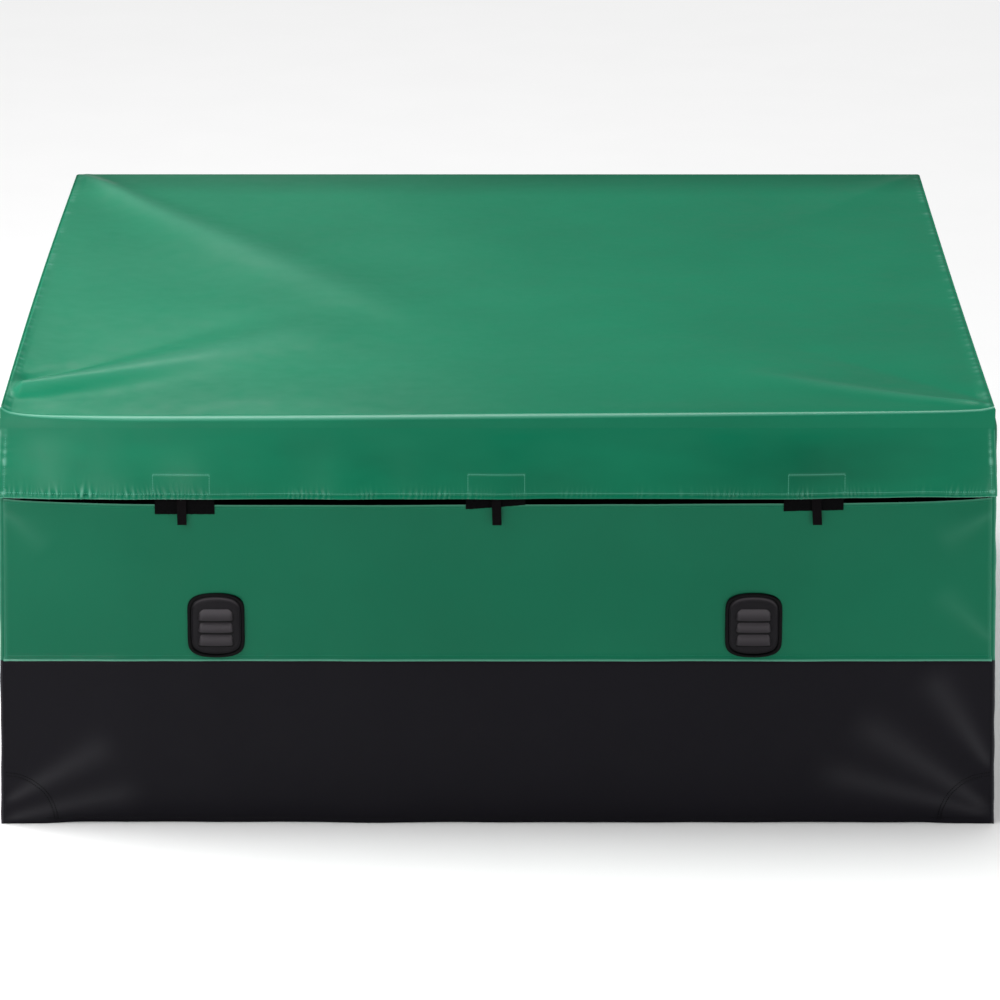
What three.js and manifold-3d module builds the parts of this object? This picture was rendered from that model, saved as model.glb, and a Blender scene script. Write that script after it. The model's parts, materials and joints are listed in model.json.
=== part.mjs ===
// Fitted weather cover for a square hot tub, standing on its own light tube frame.
//
// Coated cloth walls lean out a little from the top to the floor: green above, a black skirt below.
// A flap across the front closes a long access slot. Three hook-and-loop patches hold it down, and
// each has a webbing pull tab. Two louvred vents sit low in the front wall.
//
// Millimetres. X runs across the front, Y from the front (-Y) to the back, Z up.
// The origin is on the floor, under the middle of the cover.
import * as THREE from "three";
import { mergeVertices } from "three/addons/utils/BufferGeometryUtils.js";
import Module from "manifold-3d";

const wasm = await Module();
wasm.setup();

// ---------------------------------------------------------------- driving dimensions

const HEIGHT = 950; // floor to the top sheet's corners
const TOP_HALF = 1065; // half the width, and half the depth, at the top
const FLARE = 17.5; // how far each wall leans out between the top and the floor
const CLOTH = 3; // coated cloth as a solid
const GAP = 0.3; // between neighbouring solids
const MITRE = 0.3; // taken off each end of a wall, where it meets the next

const SEAM_Z = 376; // green wall above, black skirt below
const HEM_Z = 742; // lower edge of the front flap
const SLOT_Z = HEM_Z - 8; // upper edge of the front wall, just under the flap's hem
const HINGE_Z = 904; // line on which the flap bends

const FRONT_SAG = 16; // slow droop of the top sheet's front edge between the corners
const EAR = 11; // its quick drop beside each corner, where the sewn corner stands up
const SIDE_SAG = 14; // droop of its side edges
const DISH = 14; // extra droop in the middle of the sheet
const BELLY = 13; // how far the flap's hem and the front wall's upper edge stand out between the corners
const BELLY_LOW_Z = 575; // the front wall is flat below this

const TUBE_R = 12.5;
const TUBE_WALL = 1.2;
const BORE_R = TUBE_R + GAP;
const SLEEVE_R = 15.5; // moulded sleeve that takes a tube
const SLEEVE_REACH = 62; // from a connector's centre to a sleeve's mouth
const BORE_START = 17; // solid core between the centre and a bore's floor
const POST_AT = 1045; // posts and rails stand this far from the middle
const RAIL_Z = 902;
const BASE_Z = 24; // centre height of the rails on the floor
const CROWN_Z = HEIGHT - 22; // rounded top of each corner connector
const FOOT_R = 22;
const FOOT_TOP_Z = 86;
const FOOT_BORE_Z = 44;
const CROSSBAR_X = 350;

const FLAP_OVERHANG = 7; // the flap runs this far past the walls' corners
const CLOSURE_X = { left: -682, center: -3, right: 687 };
const PATCH_W = 124; // hook patch and loop tape, across
const PATCH_LOW_Z = HEM_Z + 4; // lower edge of the hook patches
const PATCH_HIGH_Z = PATCH_LOW_Z + 52; // upper edge of the hook patches and of the loop tapes
const TAPE_SEWN = 24; // length of loop tape sewn to the front wall's top edge
const TAB_W = 20;
const TAB_LENGTH = 55;
const TAB_TOP_Z = HEM_Z - 0.5;
const STRIP = 2; // thickness of hook, loop and webbing

const VENT_X = { left: -612, right: 556 };
const VENT_Z = 456;
const VENT_HALF_W = 62;
const VENT_HALF_H = 73;
const VENT_CUT_W = 86; // hole in the cloth behind each vent
const VENT_CUT_H = 94;
const VENT_PLATE = 2.5;
const VENT_RIM = 6; // how far the vent's outer rim stands out
const HOOD_OUT = 10.4; // how far its louvre hoods stand out
const HOOD_W = 77;
const HOOD_WALL = 2;

const CORNER_PATCH_R = 115;
const STRAP_REACH = 41.5; // from the post's centre to the strap's tip, at the cloth's corner
const STRAP_W = 25;
const STRAP_Z = 92;

const ROUND = 20; // facets round a tube or sleeve

// Layers outside the front wall, as distances from its outer face.
const TAPE_OUT = GAP;
const HOOK_OUT = TAPE_OUT + STRIP + GAP;
const FLAP_OUT = HOOK_OUT + STRIP + GAP;

const MATERIALS = {
  green_cloth: new THREE.MeshStandardMaterial({ color: 0x2b7a5c, roughness: 0.42, metalness: 0 }),
  black_cloth: new THREE.MeshStandardMaterial({ color: 0x1c1c21, roughness: 0.45, metalness: 0 }),
  hook_and_loop: new THREE.MeshStandardMaterial({ color: 0x0b0b0c, roughness: 0.95, metalness: 0 }),
  webbing: new THREE.MeshStandardMaterial({ color: 0x161517, roughness: 0.8, metalness: 0 }),
  vent_plastic: new THREE.MeshStandardMaterial({ color: 0x232127, roughness: 0.5, metalness: 0 }),
  vent_mesh: new THREE.MeshStandardMaterial({ color: 0x101012, roughness: 0.8, metalness: 0 }),
  frame_tube: new THREE.MeshStandardMaterial({ color: 0xd7d9d8, roughness: 0.4, metalness: 0.1 }),
  connector: new THREE.MeshStandardMaterial({ color: 0x1a1b1d, roughness: 0.6, metalness: 0 }),
};

// ---------------------------------------------------------------- solids

function toSolid(geometry) {
  const bare = geometry.index ? geometry.toNonIndexed() : geometry.clone();
  bare.deleteAttribute("normal");
  bare.deleteAttribute("uv");
  const merged = mergeVertices(bare, 1e-3);
  const mesh = new wasm.Mesh({
    numProp: 3,
    vertProperties: merged.attributes.position.array,
    triVerts: new Uint32Array(merged.index.array),
  });
  return new wasm.Manifold(mesh);
}

function toGeometry(solid) {
  const mesh = solid.getMesh();
  const geometry = new THREE.BufferGeometry();
  geometry.setAttribute("position", new THREE.BufferAttribute(mesh.vertProperties, 3));
  geometry.setIndex(new THREE.BufferAttribute(mesh.triVerts, 1));
  return geometry;
}

const join = (...parts) => toGeometry(parts.map(toSolid).reduce((a, b) => a.add(b)));

const cut = (part, ...tools) => toGeometry(tools.map(toSolid).reduce((a, b) => a.subtract(b), toSolid(part)));

const overlap = (a, b) => toGeometry(toSolid(a).intersect(toSolid(b)));

// Moves every point of a geometry with a function that changes it in place.
function warp(geometry, move) {
  const positions = geometry.attributes.position;
  const point = new THREE.Vector3();
  for (let i = 0; i < positions.count; i++) {
    point.fromBufferAttribute(positions, i);
    move(point);
    positions.setXYZ(i, point.x, point.y, point.z);
  }
  return geometry;
}

// ---------------------------------------------------------------- shape of the cover

// Half the outer width at a height: the four walls lean the same way.
const halfAt = (z) => TOP_HALF + FLARE * (1 - z / HEIGHT);

const frontEdgeSag = (u) => FRONT_SAG * (1 - u ** 6) + EAR * (1 - Math.abs(u) ** 40);
const sideEdgeSag = (v) => SIDE_SAG * Math.sin(Math.PI * v);

// Droop of the top sheet below its corners.
function sag(x, y) {
  const u = THREE.MathUtils.clamp(x / TOP_HALF, -1, 1);
  const v = THREE.MathUtils.clamp((y + TOP_HALF) / (2 * TOP_HALF), 0, 1);
  const edges = frontEdgeSag(u) * (1 - v) ** 2 + sideEdgeSag(v) * u * u;
  return edges + DISH * (1 - u * u) * 4 * v * (1 - v);
}

// How far the cloth at the front stands out from the leaning plane: the flap hangs out from its bend to
// its hem, and draws the front wall's upper edge out with it.
function belly(x, z) {
  const across = 1 - Math.abs(x / (TOP_HALF + FLARE)) ** 4;
  const rise = THREE.MathUtils.clamp((z - BELLY_LOW_Z) / (HEM_Z - BELLY_LOW_Z), 0, 1);
  const fall = THREE.MathUtils.clamp((HINGE_Z - z) / (HINGE_Z - HEM_Z), 0, 1);
  return BELLY * across * rise ** 1.5 * fall;
}

// A wall right across one side, modelled at the front. `top` gives its upper edge for u from -1 to 1.
// Its ends are mitred, unless an overhang takes them square past the corners.
function wall({ low, top, out = 0, overhang = 0, steps = 1, rows = 1, bulge = () => 0 }) {
  const box = new THREE.BoxGeometry(2, 1, 1, steps, 1, rows);
  return warp(box, (p) => {
    const depth = (p.y + 0.5) * CLOTH;
    const z = THREE.MathUtils.lerp(low, top(p.x), p.z + 0.5);
    const past = overhang > 0 ? overhang : -MITRE - depth;
    const x = p.x * (halfAt(z) + past);
    p.set(x, depth - out - halfAt(z) - bulge(x, z), z);
  });
}

// A flat shape drawn in X and Z, given a thickness, and laid `out` in front of the leaning front wall.
function plate(shape, thick, out, curveSegments = 6) {
  const solid = new THREE.ExtrudeGeometry(shape, { depth: thick, bevelEnabled: false, curveSegments });
  solid.rotateX(Math.PI / 2);
  solid.translate(0, -out, 0);
  return solid;
}

const lean = (geometry) => warp(geometry, (p) => (p.y -= halfAt(p.z)));

function rectangle(x0, z0, x1, z1) {
  const shape = new THREE.Shape();
  shape.moveTo(x0, z0);
  shape.lineTo(x1, z0);
  shape.lineTo(x1, z1);
  shape.lineTo(x0, z1);
  shape.closePath();
  return shape;
}

// ---------------------------------------------------------------- cloth

function topPanel() {
  const sheet = new THREE.BoxGeometry(2 * TOP_HALF, 2 * TOP_HALF, CLOTH, 16, 12, 1);
  sheet.translate(0, 0, HEIGHT - CLOTH / 2);
  warp(sheet, (p) => (p.z -= sag(p.x, p.y)));
  const lip = wall({
    low: HINGE_Z + CLOTH,
    top: (u) => HEIGHT - 1 - sag(u * TOP_HALF, -TOP_HALF),
    steps: 16,
  });
  return join(sheet, lip);
}

function frontPanel() {
  const panel = wall({ low: SEAM_Z + GAP, top: () => SLOT_Z, steps: 32, rows: 9, bulge: belly });
  const holes = Object.values(VENT_X).map((x) => {
    const hole = new THREE.BoxGeometry(VENT_CUT_W, 20 * CLOTH, VENT_CUT_H);
    hole.translate(x, -halfAt(VENT_Z), VENT_Z);
    return hole;
  });
  return cut(panel, ...holes);
}

const sidePanel = () =>
  wall({
    low: SEAM_Z + GAP,
    top: (u) => HEIGHT - 1.5 * CLOTH - sideEdgeSag((u + 1) / 2),
    steps: 12,
  });

const backPanel = () => wall({ low: SEAM_Z + GAP, top: () => HEIGHT - 1.5 * CLOTH });

const skirt = () => wall({ low: 0, top: () => SEAM_Z });

const frontFlap = () =>
  wall({
    low: HEM_Z,
    top: () => HINGE_Z - CLOTH,
    out: FLAP_OUT + CLOTH,
    overhang: FLAP_OVERHANG,
    steps: 48,
    rows: 4,
    bulge: belly,
  });

// Sewn inside each lower corner: two quarter discs that meet at the corner's edge.
function cornerPatch() {
  const radius = CORNER_PATCH_R;
  const inset = CLOTH + GAP;
  const plan = new THREE.Shape();
  plan.moveTo(0, 0);
  plan.lineTo(radius, 0);
  plan.lineTo(radius, STRIP);
  plan.lineTo(STRIP, STRIP);
  plan.lineTo(STRIP, radius);
  plan.lineTo(0, radius);
  plan.closePath();
  const angle = new THREE.ExtrudeGeometry(plan, { depth: radius, bevelEnabled: false });
  const ball = new THREE.SphereGeometry(radius, 24, 16);
  return warp(overlap(angle, ball), (p) => {
    p.z += CLOTH;
    p.x -= halfAt(p.z) - inset;
    p.y -= halfAt(p.z) - inset;
  });
}

// Webbing loop from a lower corner round the post, seen from above as a drop with its tip at the corner.
function holdDownStrap() {
  const drop = (radius, tip, path) => {
    const touch = Math.acos(radius / tip);
    path.moveTo(tip, 0);
    path.lineTo(radius * Math.cos(touch), radius * Math.sin(touch));
    path.absarc(0, 0, radius, touch, 2 * Math.PI - touch, false);
    path.closePath();
    return path;
  };
  const inner = TUBE_R + GAP;
  const band = drop(inner + STRIP, STRAP_REACH, new THREE.Shape());
  band.holes.push(drop(inner, STRAP_REACH - 3 * STRIP, new THREE.Path()));
  const loop = new THREE.ExtrudeGeometry(band, { depth: STRAP_W, bevelEnabled: false, curveSegments: 8 });
  loop.rotateZ((5 * Math.PI) / 4);
  loop.translate(-POST_AT, -POST_AT, STRAP_Z);
  return loop;
}

// ---------------------------------------------------------------- closures

// A strip `out` in front of the front wall. `follow` gives the height at which it reads the wall's place.
function strip({ x, width, low, high, out, follow = (z) => z }) {
  const box = new THREE.BoxGeometry(width, STRIP, high - low, 2, 1, 6);
  box.translate(x, -out - STRIP / 2, (low + high) / 2);
  return warp(box, (p) => (p.y -= halfAt(follow(p.z)) + belly(p.x, follow(p.z))));
}

const hookPatch = (x) => strip({ x, width: PATCH_W, low: PATCH_LOW_Z, high: PATCH_HIGH_Z, out: HOOK_OUT });

// Sewn to the front wall's top edge, and standing above it behind the flap.
const loopTape = (x) =>
  strip({ x, width: PATCH_W, low: SLOT_Z - TAPE_SEWN, high: PATCH_HIGH_Z, out: TAPE_OUT });

// Webbing that hangs straight down from just under the hem.
const pullTab = (x) =>
  strip({
    x,
    width: TAB_W,
    low: TAB_TOP_Z - TAB_LENGTH,
    high: TAB_TOP_Z,
    out: HOOK_OUT + GAP,
    follow: () => HEM_Z,
  });

// ---------------------------------------------------------------- vents

// Outline with straight sides, rounded shoulders and gently arched ends.
function ventOutline(halfW, halfH, path = new THREE.Shape()) {
  const side = 0.64 * halfH;
  const shoulderX = 0.66 * halfW;
  const shoulderZ = 0.93 * halfH;
  path.moveTo(halfW, -side);
  path.lineTo(halfW, side);
  path.quadraticCurveTo(halfW, 0.85 * halfH, shoulderX, shoulderZ);
  path.quadraticCurveTo(0, 1.07 * halfH, -shoulderX, shoulderZ);
  path.quadraticCurveTo(-halfW, 0.85 * halfH, -halfW, side);
  path.lineTo(-halfW, -side);
  path.quadraticCurveTo(-halfW, -0.85 * halfH, -shoulderX, -shoulderZ);
  path.quadraticCurveTo(0, -1.07 * halfH, shoulderX, -shoulderZ);
  path.quadraticCurveTo(halfW, -0.85 * halfH, halfW, -side);
  return path;
}

// A prism along X whose section is drawn as points of (distance in front of the wall, height).
function prism(section, width, z) {
  const shape = new THREE.Shape(section.map(([out, up]) => new THREE.Vector2(out, up)));
  const solid = new THREE.ExtrudeGeometry(shape, { depth: width, bevelEnabled: false });
  solid.translate(0, 0, -width / 2);
  solid.applyMatrix4(new THREE.Matrix4().set(0, 0, -1, 0, -1, 0, 0, 0, 0, 1, 0, 0, 0, 0, 0, 1));
  solid.translate(0, 0, z);
  return solid;
}

const atVent = (geometry, x) => lean(geometry.translate(x, 0, VENT_Z));

// Flange with a raised rim and three hoods, each open at the bottom and through to the cloth's hole.
function ventLouvre(x) {
  const face = GAP + VENT_PLATE;
  const inside = HOOD_OUT - HOOD_WALL;
  const hoodHeights = [27, -0.5, -28];
  const rim = ventOutline(VENT_HALF_W, VENT_HALF_H);
  rim.holes.push(ventOutline(VENT_HALF_W - 5, VENT_HALF_H - 5, new THREE.Path()));
  const hood = [[1, -12], [HOOD_OUT, -12], [HOOD_OUT, -8], [face, 12.5], [1, 12.5]];
  const throat = [[-1, -13], [inside, -13], [inside, -8.5], [face, 8], [-1, 8]];
  const body = join(
    plate(rim, VENT_RIM, GAP),
    plate(ventOutline(VENT_HALF_W - 3, VENT_HALF_H - 3), VENT_PLATE, GAP),
    ...hoodHeights.map((z) => prism(hood, HOOD_W, z)),
  );
  const throats = hoodHeights.map((z) => prism(throat, HOOD_W - 2 * HOOD_WALL, z));
  return atVent(cut(body, ...throats), x);
}

function centredRectangle(width, height) {
  return rectangle(-width / 2, -height / 2, width / 2, height / 2);
}

// Insect mesh in the cloth's hole.
const ventMesh = (x) => atVent(plate(centredRectangle(VENT_CUT_W - 2, VENT_CUT_H - 2), 0.8, -2), x);

// Ring inside the cloth that the louvre is fastened to.
function ventRing(x) {
  const ring = ventOutline(VENT_HALF_W - 2, VENT_HALF_H - 2);
  ring.holes.push(centredRectangle(VENT_CUT_W + 2, VENT_CUT_H + 2));
  return atVent(plate(ring, VENT_PLATE, -CLOTH - GAP - VENT_PLATE), x);
}

// ---------------------------------------------------------------- frame

// A round tube that runs up from z = 0.
function tube(length) {
  const section = new THREE.Shape();
  section.absarc(0, 0, TUBE_R, 0, 2 * Math.PI, false);
  const bore = new THREE.Path();
  bore.absarc(0, 0, TUBE_R - TUBE_WALL, 0, 2 * Math.PI, true);
  section.holes.push(bore);
  return new THREE.ExtrudeGeometry(section, { depth: length, bevelEnabled: false, curveSegments: ROUND / 2 });
}

// A solid bar that runs up from z = 0.
function bar(radius, length) {
  const solid = new THREE.CylinderGeometry(radius, radius, length, ROUND);
  solid.rotateX(Math.PI / 2);
  solid.translate(0, 0, length / 2);
  return solid;
}

const alongX = (geometry) => geometry.rotateY(Math.PI / 2);
const alongY = (geometry) => geometry.rotateX(-Math.PI / 2);

const sleeve = () => bar(SLEEVE_R, SLEEVE_REACH);
const bore = (from, length) => bar(BORE_R, length).translate(0, 0, from);
const sleeveBore = () => bore(BORE_START, SLEEVE_REACH);

// Three-way connector: post below, rails towards +X and +Y, and a rounded crown that carries the sheet.
function topCorner() {
  const crown = CROWN_Z - RAIL_Z;
  const dome = 12;
  const profile = [new THREE.Vector2(0, -SLEEVE_REACH), new THREE.Vector2(SLEEVE_R, -SLEEVE_REACH)];
  for (let i = 0; i <= 4; i++) {
    const turn = (i / 4) * (Math.PI / 2);
    const radius = i < 4 ? SLEEVE_R * Math.cos(turn) : 0;
    profile.push(new THREE.Vector2(radius, crown - dome + dome * Math.sin(turn)));
  }
  const hub = new THREE.LatheGeometry(profile, ROUND).rotateX(Math.PI / 2);
  const postBore = bore(0, SLEEVE_REACH).translate(0, 0, -SLEEVE_REACH - BORE_START);
  const body = join(hub, alongX(sleeve()), alongY(sleeve()));
  const connector = cut(body, postBore, alongX(sleeveBore()), alongY(sleeveBore()));
  return connector.translate(-POST_AT, -POST_AT, RAIL_Z);
}

// Foot: flat pad on the floor, a socket for the post and two sleeves for the rails on the floor.
function foot() {
  const profile = [
    [0, 0],
    [FOOT_R, 0],
    [FOOT_R, 4],
    [SLEEVE_R, 8],
    [SLEEVE_R, FOOT_TOP_Z],
    [0, FOOT_TOP_Z],
  ].map(([radius, up]) => new THREE.Vector2(radius, up));
  const hub = new THREE.LatheGeometry(profile, ROUND).rotateX(Math.PI / 2);
  const lift = (geometry) => geometry.translate(0, 0, BASE_Z);
  const solid = cut(
    join(hub, lift(alongX(sleeve())), lift(alongY(sleeve()))),
    bore(FOOT_BORE_Z, FOOT_TOP_Z),
    lift(alongX(sleeveBore())),
    lift(alongY(sleeveBore())),
  );
  return solid.translate(-POST_AT, -POST_AT, 0);
}

function post() {
  const low = FOOT_BORE_Z + 1;
  const high = RAIL_Z - BORE_START - 1;
  return tube(high - low).translate(-POST_AT, -POST_AT, low);
}

// A rail between two connectors, modelled along the front.
function rail(z) {
  const half = POST_AT - BORE_START - 1;
  return alongX(tube(2 * half)).translate(-half, -POST_AT, z);
}

function tee(x) {
  const through = 70;
  const clamp = alongX(bar(SLEEVE_R, through)).translate(-through / 2, 0, 0);
  const way = alongX(bore(-through / 2 - 1, through + 2));
  return cut(join(clamp, alongY(sleeve())), way, alongY(sleeveBore())).translate(x, -POST_AT, RAIL_Z);
}

function crossbar(x) {
  const half = POST_AT - BORE_START - 1;
  return alongY(tube(2 * half)).translate(x, -half, RAIL_Z);
}

// ---------------------------------------------------------------- assembly

const cover = new THREE.Group();

function add(name, geometry, material, quarterTurns = 0) {
  const mesh = new THREE.Mesh(geometry, MATERIALS[material]);
  mesh.name = name;
  mesh.rotation.z = (quarterTurns * Math.PI) / 2;
  cover.add(mesh);
}

const SIDES = ["front", "right", "back", "left"]; // each a quarter turn on from the last
const CORNERS = ["front_left", "front_right", "back_right", "back_left"];

add("top_panel", topPanel(), "green_cloth");
add("front_panel", frontPanel(), "green_cloth");
add("right_panel", sidePanel(), "green_cloth", 1);
add("back_panel", backPanel(), "green_cloth", 2);
add("left_panel", sidePanel(), "green_cloth", 3);
add("front_flap", frontFlap(), "green_cloth");

SIDES.forEach((side, turn) => {
  add(side + "_skirt", skirt(), "black_cloth", turn);
  add("top_rail_" + side, rail(RAIL_Z), "frame_tube", turn);
  add("base_rail_" + side, rail(BASE_Z), "frame_tube", turn);
});

CORNERS.forEach((corner, turn) => {
  add("corner_patch_" + corner, cornerPatch(), "black_cloth", turn);
  add("hold_down_strap_" + corner, holdDownStrap(), "webbing", turn);
  add("post_" + corner, post(), "frame_tube", turn);
  add("top_corner_" + corner, topCorner(), "connector", turn);
  add("foot_" + corner, foot(), "connector", turn);
});

for (const [side, x] of Object.entries(CLOSURE_X)) {
  add("hook_patch_" + side, hookPatch(x), "hook_and_loop");
  add("loop_tape_" + side, loopTape(x), "hook_and_loop");
  add("pull_tab_" + side, pullTab(x), "webbing");
}

for (const [side, x] of Object.entries(VENT_X)) {
  add("vent_louvre_" + side, ventLouvre(x), "vent_plastic");
  add("vent_mesh_" + side, ventMesh(x), "vent_mesh");
  add("vent_ring_" + side, ventRing(x), "vent_plastic");
}

for (const [side, x] of [["left", -CROSSBAR_X], ["right", CROSSBAR_X]]) {
  add("crossbar_" + side, crossbar(x), "frame_tube");
  add("tee_front_" + side, tee(x), "connector");
  add("tee_back_" + side, tee(-x), "connector", 2);
}

export default cover;
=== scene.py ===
"""Looks of the fitted spa cover: coated cloth, closures, vents, and the tube frame that holds it up.

Metres, in the part's own frame: +X right, -Y front, +Z up, origin on the floor under the middle.
Cloth pieces are closed shells of real thickness, laid out by surface functions and wrinkled in code.
"""

import json
import math

import bmesh
import bpy
import numpy as np
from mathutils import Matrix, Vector


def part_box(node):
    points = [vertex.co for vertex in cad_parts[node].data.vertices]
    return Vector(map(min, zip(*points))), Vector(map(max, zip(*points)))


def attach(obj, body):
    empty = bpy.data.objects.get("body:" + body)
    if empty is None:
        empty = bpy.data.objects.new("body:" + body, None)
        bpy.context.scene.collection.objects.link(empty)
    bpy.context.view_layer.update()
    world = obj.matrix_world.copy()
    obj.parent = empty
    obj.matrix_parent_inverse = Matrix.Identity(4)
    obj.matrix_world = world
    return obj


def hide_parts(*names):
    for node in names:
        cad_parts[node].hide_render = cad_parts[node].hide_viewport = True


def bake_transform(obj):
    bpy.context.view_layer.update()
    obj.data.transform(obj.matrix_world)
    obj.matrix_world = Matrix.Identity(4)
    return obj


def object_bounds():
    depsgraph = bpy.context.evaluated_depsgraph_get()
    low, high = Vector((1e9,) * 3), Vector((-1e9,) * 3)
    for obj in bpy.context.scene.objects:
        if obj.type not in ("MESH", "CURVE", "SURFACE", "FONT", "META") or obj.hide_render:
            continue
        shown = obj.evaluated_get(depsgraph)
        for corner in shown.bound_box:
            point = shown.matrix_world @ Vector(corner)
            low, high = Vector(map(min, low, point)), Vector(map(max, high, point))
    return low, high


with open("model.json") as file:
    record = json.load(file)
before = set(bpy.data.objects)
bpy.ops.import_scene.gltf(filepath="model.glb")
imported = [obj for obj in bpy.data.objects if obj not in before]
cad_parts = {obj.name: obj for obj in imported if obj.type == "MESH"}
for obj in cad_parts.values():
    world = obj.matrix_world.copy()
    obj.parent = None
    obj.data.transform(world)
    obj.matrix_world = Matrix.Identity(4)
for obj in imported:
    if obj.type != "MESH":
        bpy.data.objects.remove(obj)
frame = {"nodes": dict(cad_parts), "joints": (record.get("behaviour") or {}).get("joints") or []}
CAD_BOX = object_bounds()

# ------------------------------------------------------------------ sizes, from the frame

HEIGHT = CAD_BOX[1].z
BASE_HALF = CAD_BOX[1].x
TOP_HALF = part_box("top_panel")[1].y
FLARE = BASE_HALF - TOP_HALF
SEAM_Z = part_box("front_skirt")[1].z
SLOT_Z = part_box("front_panel")[1].z
HEM_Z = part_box("front_flap")[0].z
HINGE_Z = next(j for j in frame["joints"] if j["name"] == "flap_hinge")["pos_m"][2]

SIDES = ("front", "right", "back", "left")  # each a quarter turn on from the last
CORNERS = ("front_left", "front_right", "back_right", "back_left")
CLOSURES = ("left", "center", "right")
VENTS = ("left", "right")

CLOTH = 0.0011  # coated cloth
JOIN_Z = HINGE_Z - 0.002  # where the top sheet's front lip hands over to the flap
BEND_LOW_Z = HINGE_Z - 0.020  # the flap's side-hem stitches end a little below this
FLAP_OUT = 0.0068  # the flap's outer face, in front of the front wall's plane
BELLY = 0.013  # how far the flap's hem and the front wall's upper edge stand out between the corners
BELLY_LOW_Z = 0.575  # the front wall is flat below this
HEM_DEPTH = 0.012  # from the flap's edge up to its stitches
FLANGE = 0.0075  # sewn fin along each vertical corner
SEAM_STITCH = 0.0105  # from the green cloth's lower edge up to its stitches
SKIRT_LAP = 0.012  # the skirt runs this far up behind the green cloth
SIDE_SEAM = 0.011  # from the top sheet's sides in to their gathers
SIDE_HEM = 0.0115  # from the flap's ends in to their stitches

STITCH_PITCH = 0.0052
STITCH_LENGTH = 0.0036
STITCH_R = 0.00055

PATCH_R = 0.113  # radius of the quarter discs sewn inside the lower corners


# ------------------------------------------------------------------ numbers and curves

def lerp(a, b, t):
    return a + (b - a) * t


def smooth(edge0, edge1, x):
    """0 before edge0, 1 after edge1, and a smooth step between them."""
    t = np.clip((x - edge0) / (edge1 - edge0), 0, 1)
    return t * t * (3 - 2 * t)


def bell(x, middle, width):
    return np.exp(-(((x - middle) / width) ** 2))


def spline(points):
    """A smooth curve through (x, y) points, as a function of x, with no overshoot."""
    xs, ys = (np.array(c, float) for c in zip(*points))
    steps = np.diff(ys) / np.diff(xs)
    slopes = np.concatenate([[steps[0]], np.zeros(len(steps) - 1), [steps[-1]]])
    same = steps[1:] * steps[:-1] > 0
    slopes[1:-1][same] = 2 / (1 / steps[1:][same] + 1 / steps[:-1][same])

    def curve(x):
        x = np.clip(x, xs[0], xs[-1])
        i = np.clip(np.searchsorted(xs, x, side="right") - 1, 0, len(xs) - 2)
        h = xs[i + 1] - xs[i]
        t = (x - xs[i]) / h
        a = (1 + 2 * t) * (1 - t) ** 2 * ys[i] + t * (1 - t) ** 2 * h * slopes[i]
        return a + t * t * (3 - 2 * t) * ys[i + 1] + t * t * (t - 1) * h * slopes[i + 1]

    return curve


def ripples(x, y, seed, wavelengths, count=9):
    """Smooth noise, about -1 to 1: waves in many directions with lengths between the two given."""
    rng = np.random.default_rng(seed)
    total = np.zeros(np.broadcast(x, y).shape)
    for _ in range(count):
        length = math.exp(rng.uniform(math.log(wavelengths[0]), math.log(wavelengths[1])))
        turn = rng.uniform(0, math.pi)
        phase = rng.uniform(0, 2 * math.pi)
        along = (x * math.cos(turn) + y * math.sin(turn)) / length
        total = total + np.sin(2 * math.pi * along + phase)
    return total / math.sqrt(count / 2) / 1.6


def crease(x, y, start, end, width, height, bend=0.0, sharp=1.4, fade=0.75):
    """A ridge of cloth along a bowed line from start, where it is narrow, to end, where it dies away."""
    start, end = np.array(start, float), np.array(end, float)
    run = end - start
    length = np.linalg.norm(run)
    run = run / length
    side = np.array([-run[1], run[0]])
    dx, dy = x - start[0], y - start[1]
    along = (dx * run[0] + dy * run[1]) / length
    bow = 4 * bend * along * (1 - along)
    across = dx * side[0] + dy * side[1] - bow
    spread = width * (0.16 + 0.84 * np.clip(along, 0, 1) ** 0.8)
    strength = smooth(-0.04, 0.1, along) * (1 - smooth(fade, 1.0, along)) * (1 - 0.55 * np.clip(along, 0, 1))
    return height * strength * np.exp(-np.abs(across / spread) ** sharp)


# ------------------------------------------------------------------ meshes

def new_object(name, vertices, faces, material, flat_angle=35):
    """A smooth-shaded mesh object whose sharp corners stay crisp."""
    mesh = bpy.data.meshes.new(name)
    mesh.from_pydata(np.asarray(vertices, float).tolist(), [], [list(map(int, f)) for f in faces])
    mesh.validate()
    mesh.shade_smooth()
    mesh.set_sharp_from_angle(angle=math.radians(flat_angle))
    obj = bpy.data.objects.new(name, mesh)
    bpy.context.scene.collection.objects.link(obj)
    mesh.materials.append(material)
    return obj


def grid_normals(points):
    across = np.gradient(points, axis=1)
    up = np.gradient(points, axis=0)
    normals = np.cross(across, up)
    return normals / np.maximum(np.linalg.norm(normals, axis=2, keepdims=True), 1e-12)


def shell_mesh(points, thickness, keep=None):
    """Vertices, faces and each vertex's place in the grid, of a closed sheet. The grid is its outer face."""
    rows, columns = points.shape[:2]
    index = np.arange(rows * columns).reshape(rows, columns)
    corners = (index[:-1, :-1], index[:-1, 1:], index[1:, 1:], index[1:, :-1])
    quads = np.stack(corners, -1)
    quads = quads.reshape(-1, 4) if keep is None else quads[keep]
    outer = points.reshape(-1, 3)
    inner = outer - (grid_normals(points) * thickness).reshape(-1, 3)
    edges = np.concatenate([quads[:, [i, (i + 1) % 4]] for i in range(4)])
    size = rows * columns
    one_way = edges[:, 0] * size + edges[:, 1]
    other_way = edges[:, 1] * size + edges[:, 0]
    rim = edges[~np.isin(one_way, other_way)]
    rim_quads = np.stack([rim[:, 1], rim[:, 0], rim[:, 0] + size, rim[:, 1] + size], -1)
    faces = np.concatenate([quads, quads[:, ::-1] + size, rim_quads])
    vertices = np.concatenate([outer, inner])
    used, faces = np.unique(faces, return_inverse=True)
    return vertices[used], faces.reshape(-1, 4), used % size


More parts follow.
